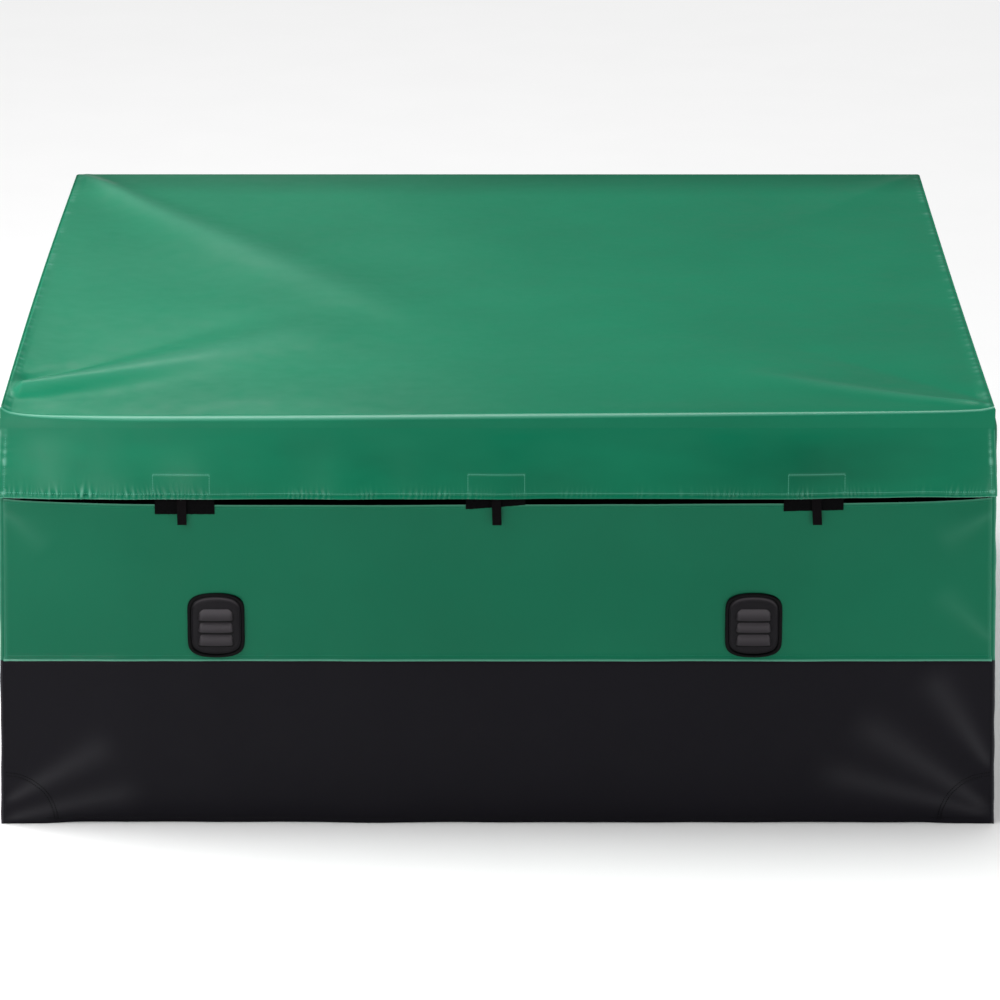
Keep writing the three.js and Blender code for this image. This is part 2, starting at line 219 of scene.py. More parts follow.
def sheet_object(name, points, material, thickness=CLOTH, keep=None, wear=None):
    """A closed sheet of cloth. The optional per-point value, 0 to 1 at each grid point, pales and polishes
    its coating: some real wear, and mostly painted highlights and sheen.
    """
    vertices, faces, places = shell_mesh(points, thickness, keep)
    obj = new_object(name, vertices, faces, material)
    if wear is not None:
        layer = obj.data.attributes.new("wear", "FLOAT", "POINT")
        values = np.clip(np.broadcast_to(wear, points.shape[:2]), 0, 1)
        layer.data.foreach_set("value", values.ravel()[places])
    return obj


def tube_mesh(path, radius, sides=8):
    """Vertices and faces of a closed tube along a path of points."""
    path = np.asarray(path, float)
    tangents = np.gradient(path, axis=0)
    tangents /= np.linalg.norm(tangents, axis=1, keepdims=True)
    helper = np.array([0, 0, 1.0]) if abs(tangents[0][2]) < 0.9 else np.array([1.0, 0, 0])
    across = np.cross(tangents, helper)
    across /= np.linalg.norm(across, axis=1, keepdims=True)
    up = np.cross(across, tangents)
    turns = np.arange(sides) * 2 * math.pi / sides
    ring = np.cos(turns)[None, :, None] * across[:, None] + np.sin(turns)[None, :, None] * up[:, None]
    vertices = (path[:, None] + radius * ring).reshape(-1, 3)
    faces = []
    for i in range(len(path) - 1):
        for j in range(sides):
            a, b = i * sides + j, i * sides + (j + 1) % sides
            faces.append((a, b, b + sides, a + sides))
    faces.append(tuple(range(sides))[::-1])
    faces.append(tuple(range((len(path) - 1) * sides, len(path) * sides)))
    return vertices, faces


def merge(meshes):
    """One mesh from several (vertices, faces)."""
    vertices, faces, count = [], [], 0
    for v, f in meshes:
        vertices.append(np.asarray(v, float))
        faces += [[int(i) + count for i in face] for face in f]
        count += len(v)
    return np.concatenate(vertices), faces


def outline_plate(outer, inner, depth_profile):
    """A closed ring lofted between two outlines of equal length, in steps of (share of the way in, out)."""
    count = len(outer)
    rings = []
    for share, out in depth_profile:
        ring = lerp(outer, inner, share)
        rings.append(np.column_stack([ring, np.full(count, out)]))
    vertices = np.concatenate(rings)
    faces = []
    steps = len(depth_profile)
    for r in range(steps):
        here, there = r * count, ((r + 1) % steps) * count
        for i in range(count):
            j = (i + 1) % count
            faces.append((here + i, here + j, there + j, there + i))
    return vertices, faces


# ------------------------------------------------------------------ stitches

def stitch_mesh(places, normals, radius):
    """Separate stitches along a line of places on a cloth surface."""
    places = np.asarray(places, float)
    normals = np.asarray(normals, float)
    gone = np.concatenate([[0], np.cumsum(np.linalg.norm(np.diff(places, axis=0), axis=1))])
    count = max(1, int(gone[-1] / STITCH_PITCH))
    middles = (np.arange(count) + 0.5) * gone[-1] / count

    def at(distance, values):
        return np.stack([np.interp(distance, gone, values[:, k]) for k in range(3)], 1)

    centre = at(middles, places)
    along = at(middles + STITCH_LENGTH / 2, places) - at(middles - STITCH_LENGTH / 2, places)
    along /= np.maximum(np.linalg.norm(along, axis=1, keepdims=True), 1e-9)
    normal = at(middles, normals)
    normal /= np.linalg.norm(normal, axis=1, keepdims=True)
    across = np.cross(normal, along)
    rings = [(-0.5, 0.0, -0.5), (-0.28, 1.0, 0.35), (0.28, 1.0, 0.35), (0.5, 0.0, -0.5)]
    vertices = []
    for share, girth, lift in rings:
        middle = centre + along * share * STITCH_LENGTH + normal * radius * lift
        if girth == 0:
            vertices.append(middle[:, None])
        else:
            around = [across, normal, -across, -normal]
            vertices.append(np.stack([middle + a * radius * girth for a in around], 1))
    vertices = np.concatenate(vertices, 1).reshape(-1, 3)
    one = []
    for i in range(4):
        j = (i + 1) % 4
        one += [(0, 1 + j, 1 + i), (1 + i, 1 + j, 5 + j, 5 + i), (9, 5 + i, 5 + j)]
    faces = [[v + 10 * n for v in face] for n in range(count) for face in one]
    return vertices, faces


def surface_line(surface, a, b):
    """Places and outward normals along a line of surface parameters a(t), b(t)."""
    a, b = np.asarray(a, float), np.asarray(b, float)
    d = 1e-4
    places = surface(a, b)
    across = surface(a + d, b) - surface(a - d, b)
    up = surface(a, b + d) - surface(a, b - d)
    normals = np.cross(across, up)
    normals /= np.linalg.norm(normals, axis=-1, keepdims=True)
    return places, normals


def sew(surface, line, radius=STITCH_R):
    """Stitches along a line of a surface's own parameters."""
    return stitch_mesh(*surface_line(surface, *line), radius)


def line_between(start, end, step=0.004):
    start, end = np.array(start, float), np.array(end, float)
    count = max(2, int(np.linalg.norm(end - start) / step) + 1)
    points = lerp(start, end, np.linspace(0, 1, count)[:, None])
    return points[:, 0], points[:, 1]


def arc_line(centre, radius, start, end, count=60):
    turns = np.linspace(start, end, count)
    return centre[0] + radius * np.cos(turns), centre[1] + radius * np.sin(turns)


# ------------------------------------------------------------------ materials

EVEN = (1, 1, 1)  # a pattern that isn't stretched


class Surface:
    """One material, and short ways to add shader nodes to it."""

    def __init__(self, name, color, roughness, specular=0.5, coat=0.0, coat_roughness=0.2):
        self.material = bpy.data.materials.new(name)
        self.material.use_nodes = True
        self.tree = self.material.node_tree
        self.shader = self.tree.nodes["Principled BSDF"]
        numbers = {
            "Base Color": (*color, 1), "Roughness": roughness, "Specular IOR Level": specular,
            "Coat Weight": coat, "Coat Roughness": coat_roughness,
        }
        for key, number in numbers.items():
            self.shader.inputs[key].default_value = number
        self.coordinates = self.add("ShaderNodeTexCoord").outputs["Object"]

    def add(self, kind, **settings):
        node = self.tree.nodes.new(kind)
        for key, value in settings.items():
            setattr(node, key, value)
        return node

    def link(self, output, socket):
        self.tree.links.new(output, socket)

    def feed(self, key, output):
        """Gives the shader one of its inputs from a node."""
        self.link(output, self.shader.inputs[key])

    def math(self, operation, a, b=None):
        node = self.add("ShaderNodeMath", operation=operation)
        for socket, value in zip(node.inputs, (a, b)):
            if value is None:
                continue
            if isinstance(value, (int, float)):
                socket.default_value = value
            else:
                self.link(value, socket)
        return node.outputs[0]

    def axis(self, name):
        node = self.add("ShaderNodeSeparateXYZ")
        self.link(self.coordinates, node.inputs[0])
        return node.outputs[name]

    def noise(self, scale, detail=3.0, roughness=0.5, stretch=EVEN, distortion=0.0):
        mapping = self.add("ShaderNodeMapping")
        mapping.inputs["Scale"].default_value = stretch
        self.link(self.coordinates, mapping.inputs["Vector"])
        node = self.add("ShaderNodeTexNoise")
        node.inputs["Scale"].default_value = scale
        node.inputs["Detail"].default_value = detail
        node.inputs["Roughness"].default_value = roughness
        node.inputs["Distortion"].default_value = distortion
        self.link(mapping.outputs[0], node.inputs["Vector"])
        return node.outputs["Fac"]

    def ramp(self, value, low, high, to_low=0.0, to_high=1.0):
        node = self.add("ShaderNodeMapRange")
        for key, number in (("From Min", low), ("From Max", high), ("To Min", to_low), ("To Max", to_high)):
            node.inputs[key].default_value = number
        self.link(value, node.inputs["Value"])
        return node.outputs["Result"]

    def blend_colors(self, amount, a, b):
        """A mix of two colours, each given as numbers or as another node's output."""
        node = self.add("ShaderNodeMix", data_type="RGBA", clamp_factor=False)
        self.link(amount, node.inputs["Factor"])
        for key, color in (("A", a), ("B", b)):
            if isinstance(color, tuple):
                node.inputs[key].default_value = (*color, 1)
            else:
                self.link(color, node.inputs[key])
        return node.outputs["Result"]

    def weave(self, axes, pitch):
        """Over-and-under threads, in the plane of two axes."""
        turn = math.pi / pitch
        a, b = (self.math("SINE", self.math("MULTIPLY", self.axis(axis), turn)) for axis in axes)
        return self.math("MULTIPLY", a, b)

    def bump(self, heights):
        """Chains (height, distance in metres) layers into the shader's normal."""
        normal = None
        for height, distance in heights:
            node = self.add("ShaderNodeBump")
            node.inputs["Strength"].default_value = 1.0
            node.inputs["Distance"].default_value = distance
            self.link(height, node.inputs["Height"])
            if normal is not None:
                self.link(normal, node.inputs["Normal"])
            normal = node.outputs["Normal"]
        self.feed("Normal", normal)


def shaded(color, factor):
    return tuple(c * factor for c in color)


def shade_top(cloth, tone):
    """Painted shade: the top sheet is darker towards its back edge, and towards and over its front fold."""
    for axis, start, end, depth in (
        ("Y", TOP_HALF - 0.2, TOP_HALF, 1.7),
        ("Z", JOIN_Z + 0.02, JOIN_Z, 0.15),
        ("Y", 0.35 - TOP_HALF, 0.05 - TOP_HALF, 0.5),
    ):
        tone = cloth.math("SUBTRACT", tone, cloth.ramp(cloth.axis(axis), start, end, 0.0, depth))
    return tone


def shade_flap(cloth, tone):
    """The flap is as even as the top sheet at its fold, and carries painted shade right of the middle."""
    even = cloth.ramp(cloth.axis("Z"), JOIN_Z - 0.05, JOIN_Z)
    rises, falls = (cloth.ramp(cloth.axis("X"), *span, 0.0, 0.45) for span in ((0.3, 0.65), (0.65, 0.95)))
    right_painted_shade = cloth.math("SUBTRACT", rises, falls)
    patchy = cloth.math("SUBTRACT", cloth.math("SUBTRACT", tone, 0.5), right_painted_shade)
    return cloth.math("ADD", cloth.math("MULTIPLY", patchy, cloth.math("SUBTRACT", 1.0, even)), 0.5)


def tarpaulin(name, color, pale_wear_and_highlight, axes, roughness, specular, mottle=0.11, stretch=EVEN):
    """PVC-coated cloth: faint base weave, soft handling creases, patchy gloss, and a paler colour at wear and
    at painted highlights and sheen.
    """
    cloth = Surface(name, color, roughness, specular, coat=0.06, coat_roughness=0.16)
    tone = cloth.ramp(cloth.noise(2.6, detail=4, stretch=stretch), 0.3, 0.7, 0.25, 0.75)
    if axes == ("X", "Y"):
        tone = shade_top(cloth, tone)
    if stretch != EVEN:
        tone = shade_flap(cloth, tone)
    unworn = cloth.blend_colors(tone, shaded(color, 1 - mottle), shaded(color, 1 + mottle))
    # This attribute paints highlights and sheen as well as wear: it mixes in a pale colour and a glossier
    # coat.
    wear = cloth.add("ShaderNodeAttribute", attribute_name="wear").outputs["Fac"]
    cloth.feed("Base Color", cloth.blend_colors(wear, unworn, pale_wear_and_highlight))
    cloth.feed("Coat Weight", cloth.ramp(wear, 0.0, 1.0, 0.06, 1.0))
    gloss = cloth.noise(17, detail=2)
    cloth.feed("Roughness", cloth.ramp(gloss, 0.3, 0.7, roughness - 0.05, roughness + 0.06))
    handling = cloth.noise(14, detail=2, distortion=0.4)
    grain = cloth.noise(220, detail=2)
    cloth.bump([(cloth.weave(axes, 0.0016), 0.000012), (handling, 0.0004), (grain, 0.00001)])
    return cloth.material


def napped_tape(name, color):
    """Loop side of hook-and-loop tape: a dense, dull nap."""
    tape = Surface(name, color, 0.95, specular=0.04)
    fibre = tape.noise(900, detail=4, roughness=0.7)
    clumps = tape.noise(260, detail=2)
    tone = tape.ramp(fibre, 0.3, 0.7)
    tape.feed("Base Color", tape.blend_colors(tone, shaded(color, 0.5), shaded(color, 1.9)))
    tape.bump([(fibre, 0.0006), (clumps, 0.0008)])
    return tape.material


def webbing(name, color):
    """Woven tape with ribs across it."""
    tape = Surface(name, color, 0.62, specular=0.05)
    weave = tape.weave(("X", "Z"), 0.0011)
    tone = tape.ramp(weave, -1, 1)
    tape.feed("Base Color", tape.blend_colors(tone, shaded(color, 0.55), shaded(color, 1.7)))
    tape.bump([(weave, 0.0004), (tape.noise(700), 0.0002)])
    return tape.material


def moulded_plastic(name, color, roughness, specular, lit_from_above_color=None):
    """Fine-textured plastic. Given a colour lit from above, faces that look up at the sky have it: painted
    light from overhead.
    """
    part = Surface(name, color, roughness, specular)
    texture = part.noise(1400, detail=2)
    scuffs = part.noise(40, detail=6, roughness=0.65)
    plastic = part.blend_colors(part.ramp(scuffs, 0.3, 0.75), shaded(color, 0.85), shaded(color, 1.25))
    if lit_from_above_color:
        facing = part.add("ShaderNodeSeparateXYZ")
        part.link(part.add("ShaderNodeNewGeometry").outputs["Normal"], facing.inputs[0])
        plastic = part.blend_colors(part.ramp(facing.outputs["Z"], 0.12, 0.5), plastic, lit_from_above_color)
    part.feed("Base Color", plastic)
    part.feed("Roughness", part.ramp(scuffs, 0.3, 0.7, roughness - 0.06, roughness + 0.08))
    part.bump([(texture, 0.00025)])
    return part.material


def powder_coat(name, color):
    """Painted steel: orange peel, and a little wear in the tone."""
    paint = Surface(name, color, 0.36, coat=0.3, coat_roughness=0.18)
    peel = paint.noise(420, detail=2)
    wear = paint.noise(9, detail=6, roughness=0.7)
    paint.feed("Base Color", paint.blend_colors(paint.ramp(wear, 0.35, 0.75), color, shaded(color, 0.84)))
    paint.feed("Roughness", paint.ramp(wear, 0.3, 0.7, 0.3, 0.45))
    paint.bump([(peel, 0.0002)])
    return paint.material


def thread(name, color):
    yarn = Surface(name, color, 0.5, specular=0.1)
    tone = yarn.ramp(yarn.noise(2500, detail=1), 0.3, 0.7)
    yarn.feed("Base Color", yarn.blend_colors(tone, shaded(color, 0.7), shaded(color, 1.2)))
    return yarn.material


def floor_material():
    floor = Surface("studio_floor", (0.9, 0.9, 0.9), 0.75)
    tone = floor.ramp(floor.noise(3, detail=2), 0.3, 0.7)
    floor.feed("Base Color", floor.blend_colors(tone, (0.895,) * 3, (0.905,) * 3))
    return floor.material


GREEN = (0.0015, 0.178, 0.088)
# Pale colours mixed in by the per-point attribute: some wear, mostly painted highlights and sheen.
WEAR_AND_HIGHLIGHT_GREEN = (0.16, 0.45, 0.33)
BLACK = (0.0042, 0.0036, 0.0062)
WEAR_AND_HIGHLIGHT_BLACK = (0.09, 0.09, 0.1)
PLANES = {
    "front": ("X", "Z"), "back": ("X", "Z"), "left": ("Y", "Z"), "right": ("Y", "Z"),
    "top": ("X", "Y"), "flap": ("X", "Z"),
}
GREEN_CLOTH = {}
BLACK_CLOTH = {}
for plane, axes in PLANES.items():
    # One green cloth in lit and shaded copies: the flap and the walls are darker than the top by painted
    # shade.
    shade = shaded(GREEN, {"top": 1.0, "flap": 0.86}.get(plane, 0.7))
    pattern = (0.26, (1, 1, 2.6)) if plane == "flap" else (0.11, EVEN)
    specular = 0.15 if plane == "top" else 0.11
    name = "green_tarpaulin_" + plane
    GREEN_CLOTH[plane] = tarpaulin(name, shade, WEAR_AND_HIGHLIGHT_GREEN, axes, 0.33, specular, *pattern)
    if plane in SIDES:
        BLACK_CLOTH[plane] = tarpaulin("black_tarpaulin_" + plane, BLACK, WEAR_AND_HIGHLIGHT_BLACK, axes, 0.40, 0.06)
GREEN_THREAD = thread("green_thread", (0.11, 0.44, 0.32))
SEAM_THREAD = thread("seam_thread", (0.02, 0.24, 0.14))
BLACK_THREAD = thread("black_thread", (0.0006, 0.0006, 0.0008))
LOOP = napped_tape("loop_tape", (0.0022, 0.0022, 0.0024))
WEBBING = webbing("webbing", (0.0030, 0.0022, 0.0028))
# Its last colour is painted light on the upward faces of the hoods and the face plate.
VENT_PLASTIC = moulded_plastic("vent_plastic", (0.0068, 0.0060, 0.0078), 0.36, 0.1, (0.07, 0.064, 0.07))
RIM_PLASTIC = moulded_plastic("vent_rim_plastic", (0.0012, 0.0012, 0.0015), 0.42, 0.08)
MESH_PLASTIC = moulded_plastic("mesh_plastic", (0.003, 0.003, 0.0033), 0.6, 0.1)
TUBE_PAINT = powder_coat("tube_paint", (0.62, 0.63, 0.62))
NYLON = moulded_plastic("connector_nylon", (0.022, 0.023, 0.026), 0.5, 0.5)


# ------------------------------------------------------------------ cloth surfaces

def half_at(z):
    """Half the cover's width at a height."""
    return TOP_HALF + FLARE * (1 - z / HEIGHT)


def turned(side, x, y, z):
    """A point laid out for the front, turned to another side."""
    quarter = SIDES.index(side) * math.pi / 2
    c, s = round(math.cos(quarter)), round(math.sin(quarter))
    x, y, z = np.broadcast_arrays(x, y, z)
    return np.stack([x * c - y * s, x * s + y * c, z], -1)


def belly(u, z):
    """The closed flap leans out to its hem, and draws the front wall's upper edge out with it."""
    rise = np.clip((z - BELLY_LOW_Z) / (HEM_Z - BELLY_LOW_Z), 0, 1)
    fall = np.clip((HINGE_Z - z) / (HINGE_Z - HEM_Z), 0, 1)
    return BELLY * (1 - u ** 4) * rise ** 1.5 * fall


# Droop of the front edge below the corners' height, from the left corner (-1) to the right (1).
front_drop = spline([
    (-1.0, 0.001), (-0.992, 0.0075), (-0.98, 0.0125), (-0.95, 0.0165), (-0.88, 0.0195), (-0.7, 0.0215),
    (-0.45, 0.0205), (0.0, 0.0165), (0.45, 0.013), (0.88, 0.0085), (0.97, 0.0065), (1.0, 0.0015),
])

# Radius of the fold along the front edge: sharp at the corners, soft on the left.
roll_radius = spline([
    (-1.0, 0.005), (-0.93, 0.008), (-0.7, 0.0145), (0.0, 0.0135), (0.5, 0.010), (0.9, 0.007), (1.0, 0.006),
])

ROLL_START = math.radians(5.5)  # slope of the sheet where the fold starts
ROLL_END = math.radians(85)


def ease_down(u, y):
    """Extra drop of the sheet in its last stretch before the fold."""
    reach = 0.03
    return math.tan(ROLL_START) * reach * np.exp(-(y + TOP_HALF) / reach) * (1 - np.abs(u) ** 24)


def top_edge(y):
    """Half the top sheet's width at each side, as (left, right): the left edge swells a little."""
    v = np.clip((y + TOP_HALF) / (2 * TOP_HALF), 0, 1)
    return TOP_HALF + 0.0065 * np.sin(math.pi * v), TOP_HALF + 0 * v


def side_drop(u, v):
    return np.where(u < 0, 0.003, 0.008) * np.sin(math.pi * v) * np.abs(u) ** 2.5


TOP_CREASES = [
    # start, end, width, height, bend, sharpness
    ((-1.06, 1.06), (-0.12, -0.36), 0.15, 0.015, -0.03, 1.7),
    ((-1.10, -0.95), (-0.28, -0.24), 0.15, 0.023, -0.03, 1.8),
    ((-1.07, -0.84), (-0.55, -0.20), 0.09, -0.011, -0.02, 1.6),
    ((1.07, -1.05), (0.5, -0.72), 0.06, 0.010, 0.02, 1.4),
    ((1.07, -1.0), (0.6, -0.45), 0.09, -0.007, 0.0, 1.4),
    ((1.05, 1.05), (0.5, 0.3), 0.14, 0.006, 0.0, 1.4),
]


def top_whitening_and_sheen(x, y, share):
    """Stress whitening and painted sheen along the raised creases, and painted glints at the gathers beside
    the side seams.
    """
    pale = 0 * x
    for start, end, width, height, bend, _ in TOP_CREASES:
        if height > 0.008:
            pale = pale + 0.13 * crease(x, y, start, end, 0.6 * width, 1.0, bend, 2.0, 0.55)
    from_edge = TOP_HALF * (1 - np.abs(share))
    gathers = np.clip(side_gathers(y, from_edge, 0.007), 0, 1)
    return pale + 0.45 * gathers * (1 - smooth(0.01, 0.03, from_edge))


def top_height(x, y):
    """Height of the top sheet's outer face."""
    u = np.clip(x / TOP_HALF, -1, 1)
    v = np.clip((y + TOP_HALF) / (2 * TOP_HALF), 0, 1)
    drop = front_drop(u) * (1 - v) ** 2 + side_drop(u, v) + ease_down(u, np.maximum(y, -TOP_HALF))
    drop = drop + 0.012 * (1 - u * u) * 4 * v * (1 - v)
    drop = drop + 0.0045 * (1 - u ** 12) * (1 - np.exp(-(1 - v) / 0.028)) * smooth(0, 0.5, v)
    inside = smooth(0, 0.12, 1 - np.abs(u)) * smooth(0, 0.1, 1 - v) * smooth(0, 0.05, v)
    folds = sum(crease(x, y, *line) for line in TOP_CREASES)
    soft = 0.0020 * ripples(x, y, 11, (0.5, 1.4)) * inside
    return HEIGHT - drop + folds * smooth(0, 0.03, 1 - np.abs(u)) + soft


# Droop of the front wall's upper edge between the corners.
slot_droop = spline([
    (-1.0, -0.0075), (-0.96, -0.004), (-0.8, 0.001), (-0.45, 0.0042), (0.0, 0.0032), (0.8, -0.001),
    (0.95, -0.006), (1.0, -0.0105),
])

WALL_CREASES = {
    # side: (start u, start z, end u, end z, width, height) with u from corner to corner
    "front": [
        (1.0, 0.03, 0.70, 0.26, 0.055, 0.0042), (1.0, 0.02, 0.62, 0.13, 0.045, 0.0036),
        (1.0, 0.13, 0.86, 0.37, 0.05, 0.0036), (-1.0, 0.01, -0.70, 0.08, 0.04, 0.0034),
        (-1.0, 0.05, -0.76, 0.20, 0.045, 0.0032), (1.0, 0.42, 0.88, 0.55, 0.04, 0.0030),
        (-1.0, 0.71, -0.9, 0.62, 0.04, 0.0026), (1.0, 0.71, 0.88, 0.64, 0.04, 0.0026),
    ],
    "right": [
        (-1.0, 0.93, -0.62, 0.6, 0.08, 0.0045), (1.0, 0.93, 0.66, 0.62, 0.08, 0.004),
        (-1.0, 0.04, -0.7, 0.22, 0.05, 0.003), (1.0, 0.05, 0.72, 0.26, 0.05, 0.003),
    ],
    "back": [
        (-1.0, 0.93, -0.6, 0.58, 0.08, 0.0045), (1.0, 0.93, 0.58, 0.62, 0.08, 0.005),
        (-1.0, 0.04, -0.68, 0.24, 0.05, 0.003), (1.0, 0.04, 0.7, 0.2, 0.05, 0.003),
    ],
    "left": [
        (-1.0, 0.93, -0.64, 0.62, 0.08, 0.004), (1.0, 0.93, 0.6, 0.58, 0.08, 0.0048),
        (-1.0, 0.04, -0.72, 0.25, 0.05, 0.003), (1.0, 0.05, 0.7, 0.2, 0.05, 0.003),
    ],
}


def wall_top(side, u):
    """Upper edge of a wall's cloth: just under the top sheet, or the front slot's lower lip."""
    if side == "front":
        return SLOT_Z - slot_droop(u)
    v = (u + 1) / 2
    if side == "right":
        return HEIGHT - 0.003 - side_drop(1.0, v)
    return HEIGHT - 0.003 - (side_drop(-1.0, v) if side == "left" else 0 * v)


def on_wall(u, z):
    """(s, z) of the place at a height that is u of the way from the middle to the corner."""
    return u * half_at(z), z


def wall_out(side, u, z):
    """How far a wall's cloth stands out from its leaning plane."""
    seed = 20 + SIDES.index(side)
    s = u * half_at(z)
    held = (1 - np.abs(u) ** 14) * (1 - 0.85 * smooth(0.86, 0.945, z))
    if side == "front":
        billow = belly(u, z)
    else:
        billow = -0.004 * (1 - u ** 4) * np.sin(math.pi * np.clip(z / 0.9, 0, 1))
    if side == "left":
        billow = billow + 0.0065 * np.cos(u * math.pi / 2) * smooth(0.3, 0.95, z)
    soft = 0.0024 * ripples(s, 0.5 * z, seed, (0.45, 1.3))
    fine = 0.0007 * ripples(s, 0.7 * z, seed + 40, (0.12, 0.3))
    out = held * (soft + fine) + billow
    for u0, z0, u1, z1, width, height in WALL_CREASES[side]:
        line = crease(s, z, on_wall(u0, z0), on_wall(u1, z1), width, height)
        out = out + line * (1 - np.abs(u) ** 30)
    return out


def crease_whitening_and_sheen(side, s, z):
    """Stress whitening and painted sheen along a wall's raised creases."""
    pale = 0 * s
    for u0, z0, u1, z1, width, _ in WALL_CREASES[side]:
        pale = pale + crease(s, z, on_wall(u0, z0), on_wall(u1, z1), 0.8 * width, 1.0, sharp=1.8)
    return pale


def wall_point(side, s, z, out=0.0):
    """A point on a wall: s to the right along it as seen from outside, z up, out from the cloth."""
    u = np.clip(s / half_at(z), -1, 1)
    return turned(side, s, -(half_at(z) + wall_out(side, u, z) + out), z)


def rows_between(low, high, spacing, extra=()):
    """Evenly spaced levels from low to high, with some more close to given ones."""
    count = max(2, int(round((high - low) / spacing)) + 1)
    levels = set(np.linspace(low, high, count).round(6))
    levels |= {round(float(e), 6) for e in extra if low < e < high}
    return np.array(sorted(levels))


def across(middle, ends, share):
    """Columns from -1 to 1, with more of them in the last share at each end."""
    end = 1 - share * (1 - np.linspace(0, 1, ends)) ** 1.5
    inner = np.linspace(-(1 - share), 1 - share, middle)
    return np.unique(np.concatenate([-end, inner, end]).round(6))


def needle_pucker(along, away, seed, reach=0.016, pitch=0.017):
    """Little gathers beside a line of stitches: `along` it and `away` from it, in metres."""
    uneven = 0.5 + 0.6 * ripples(along, 0 * along, seed, (0.03, 0.16), 7)
    drift = 0.6 * ripples(along, 0 * along, seed + 1, (0.03, 0.12), 5)
    return uneven * np.sin(2 * math.pi * (along / pitch + drift)) * np.exp(-np.abs(away) / reach)


# ------------------------------------------------------------------ the top sheet and the flap

FOLD_WEAR_AND_HIGHLIGHT = 0.45  # how polished the crest of the fold is, and how pale: a painted highlight along the fold
END_SEED = 67  # of the gathers at the flap's ends


def side_gathers(y, from_side, reach):
    """Gathers along the top sheet's side seams."""
    return needle_pucker(y, from_side - SIDE_SEAM, 71, reach=reach, pitch=0.021)


def flap_half(z):
    """Half the flap's width: it runs a little further past the corners at its hem."""
    return half_at(z) + lerp(0.0085, 0.003, smooth(HEM_Z, JOIN_Z, z))


def fold_start(u):
    """(y, z) at which the sheet starts to turn down into the fold."""
    radius = roll_radius(u)
    y = -(TOP_HALF + FLAP_OUT - radius * (1 - math.sin(ROLL_START)))
    return y, top_height(u * TOP_HALF, y)


def fold_point(u, turn):
    """The front fold, from the sheet (turn 0) to where it hangs (turn 1)."""
    radius = roll_radius(u)
    angle = lerp(ROLL_START, ROLL_END, turn)
    y, z = fold_start(u)
    y = y - radius * (np.sin(angle) - math.sin(ROLL_START))
    z = z - radius * (math.cos(ROLL_START) - np.cos(angle))
    x = u * lerp(TOP_HALF, flap_half(HINGE_Z), turn)
    return np.stack(np.broadcast_arrays(x, y, z), -1)


def build_top_sheet():
    columns = across(240, 30, 0.07)
    hang = flap_point(columns * flap_half(JOIN_Z), np.full_like(columns, JOIN_Z))
    turns = np.linspace(1, 0, 14)
    rows = [hang] + [fold_point(columns, turn) for turn in turns]
    wear = [0 * columns] + [0 * columns + FOLD_WEAR_AND_HIGHLIGHT * math.sin(math.pi * turn) ** 2 for turn in turns]
    front_y, _ = fold_start(columns)
    near_fold, near_back = np.geomspace(0.002, 0.1, 34), np.linspace(0.98, 1, 14)
    for share in np.concatenate([near_fold, np.linspace(0.106, 0.975, 180), near_back]):
        y = lerp(front_y, TOP_HALF + 0.001, share)
        left, right = top_edge(y)
        x = columns * np.where(columns < 0, left, right)
        z = top_height(x, y)
        from_side = TOP_HALF * (1 - np.abs(columns))
        edge = np.minimum(from_side, TOP_HALF - y)
        z = z + 0.0008 * side_gathers(y, from_side, 0.01) * (1 - smooth(0.0, 0.05, edge))
        z = z - 0.0024 * (1 - smooth(0, 0.007, edge))
        rows.append(np.stack([x, y, z], -1))
        wear.append(top_whitening_and_sheen(x, y, columns))
    top = sheet_object("top_sheet", np.array(rows), GREEN_CLOTH["top"], wear=np.array(wear))
    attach(top, "enclosure")
    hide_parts("top_panel")


def hem_gathers(s, above):
    """Gathers along the hem's stitches: most at the left, where the cloth is bunched."""
    bunched = 0.7 + 1.1 * bell(s, -0.87, 0.14) + 0.25 * ripples(s, 0 * s, 64, (0.25, 0.7))
    slant = s + 0.25 * above * ripples(s, 0 * s, 65, (0.02, 0.06))
    return bunched * needle_pucker(slant, above, 62, reach=0.0065, pitch=0.0105)


def flap_out(s, z):
    """How far the flap's outer face stands in front of the front wall's plane."""
    u = s / flap_half(z)
    down = smooth(JOIN_Z, HEM_Z, z)
    hang = 0.0030 * down * ripples(s, 0 * s, 60, (0.4, 1.0))
    soft = 0.0026 * ripples(s, 0.8 * z, 61, (0.16, 0.5)) * down ** 0.5
    loose = (0.0015 * down + hang + soft) * (1 - np.abs(u) ** 30) * (1 - smooth(JOIN_Z - 0.03, JOIN_Z, z))
    above = z - (HEM_Z + HEM_DEPTH)
    lip = 0.0022 * (1 - smooth(0.0005, 0.0045, z - HEM_Z)) + 0.0009 * (1 - smooth(-0.003, 0.0012, above))
    stitched = -0.0009 * bell(above, 0, 0.0022)
    from_end = flap_half(z) - np.abs(s)
    side = 0.0011 * (1 - smooth(SIDE_HEM - 0.002, SIDE_HEM + 0.002, from_end))
    side = side + 0.0014 * needle_pucker(z, from_end - SIDE_HEM, END_SEED, reach=0.006, pitch=0.026)
    side = side * (1 - smooth(JOIN_Z - 0.02, JOIN_Z, z))
    return FLAP_OUT + belly(u, z) + loose + 0.0018 * hem_gathers(s, above) + lip + stitched + side


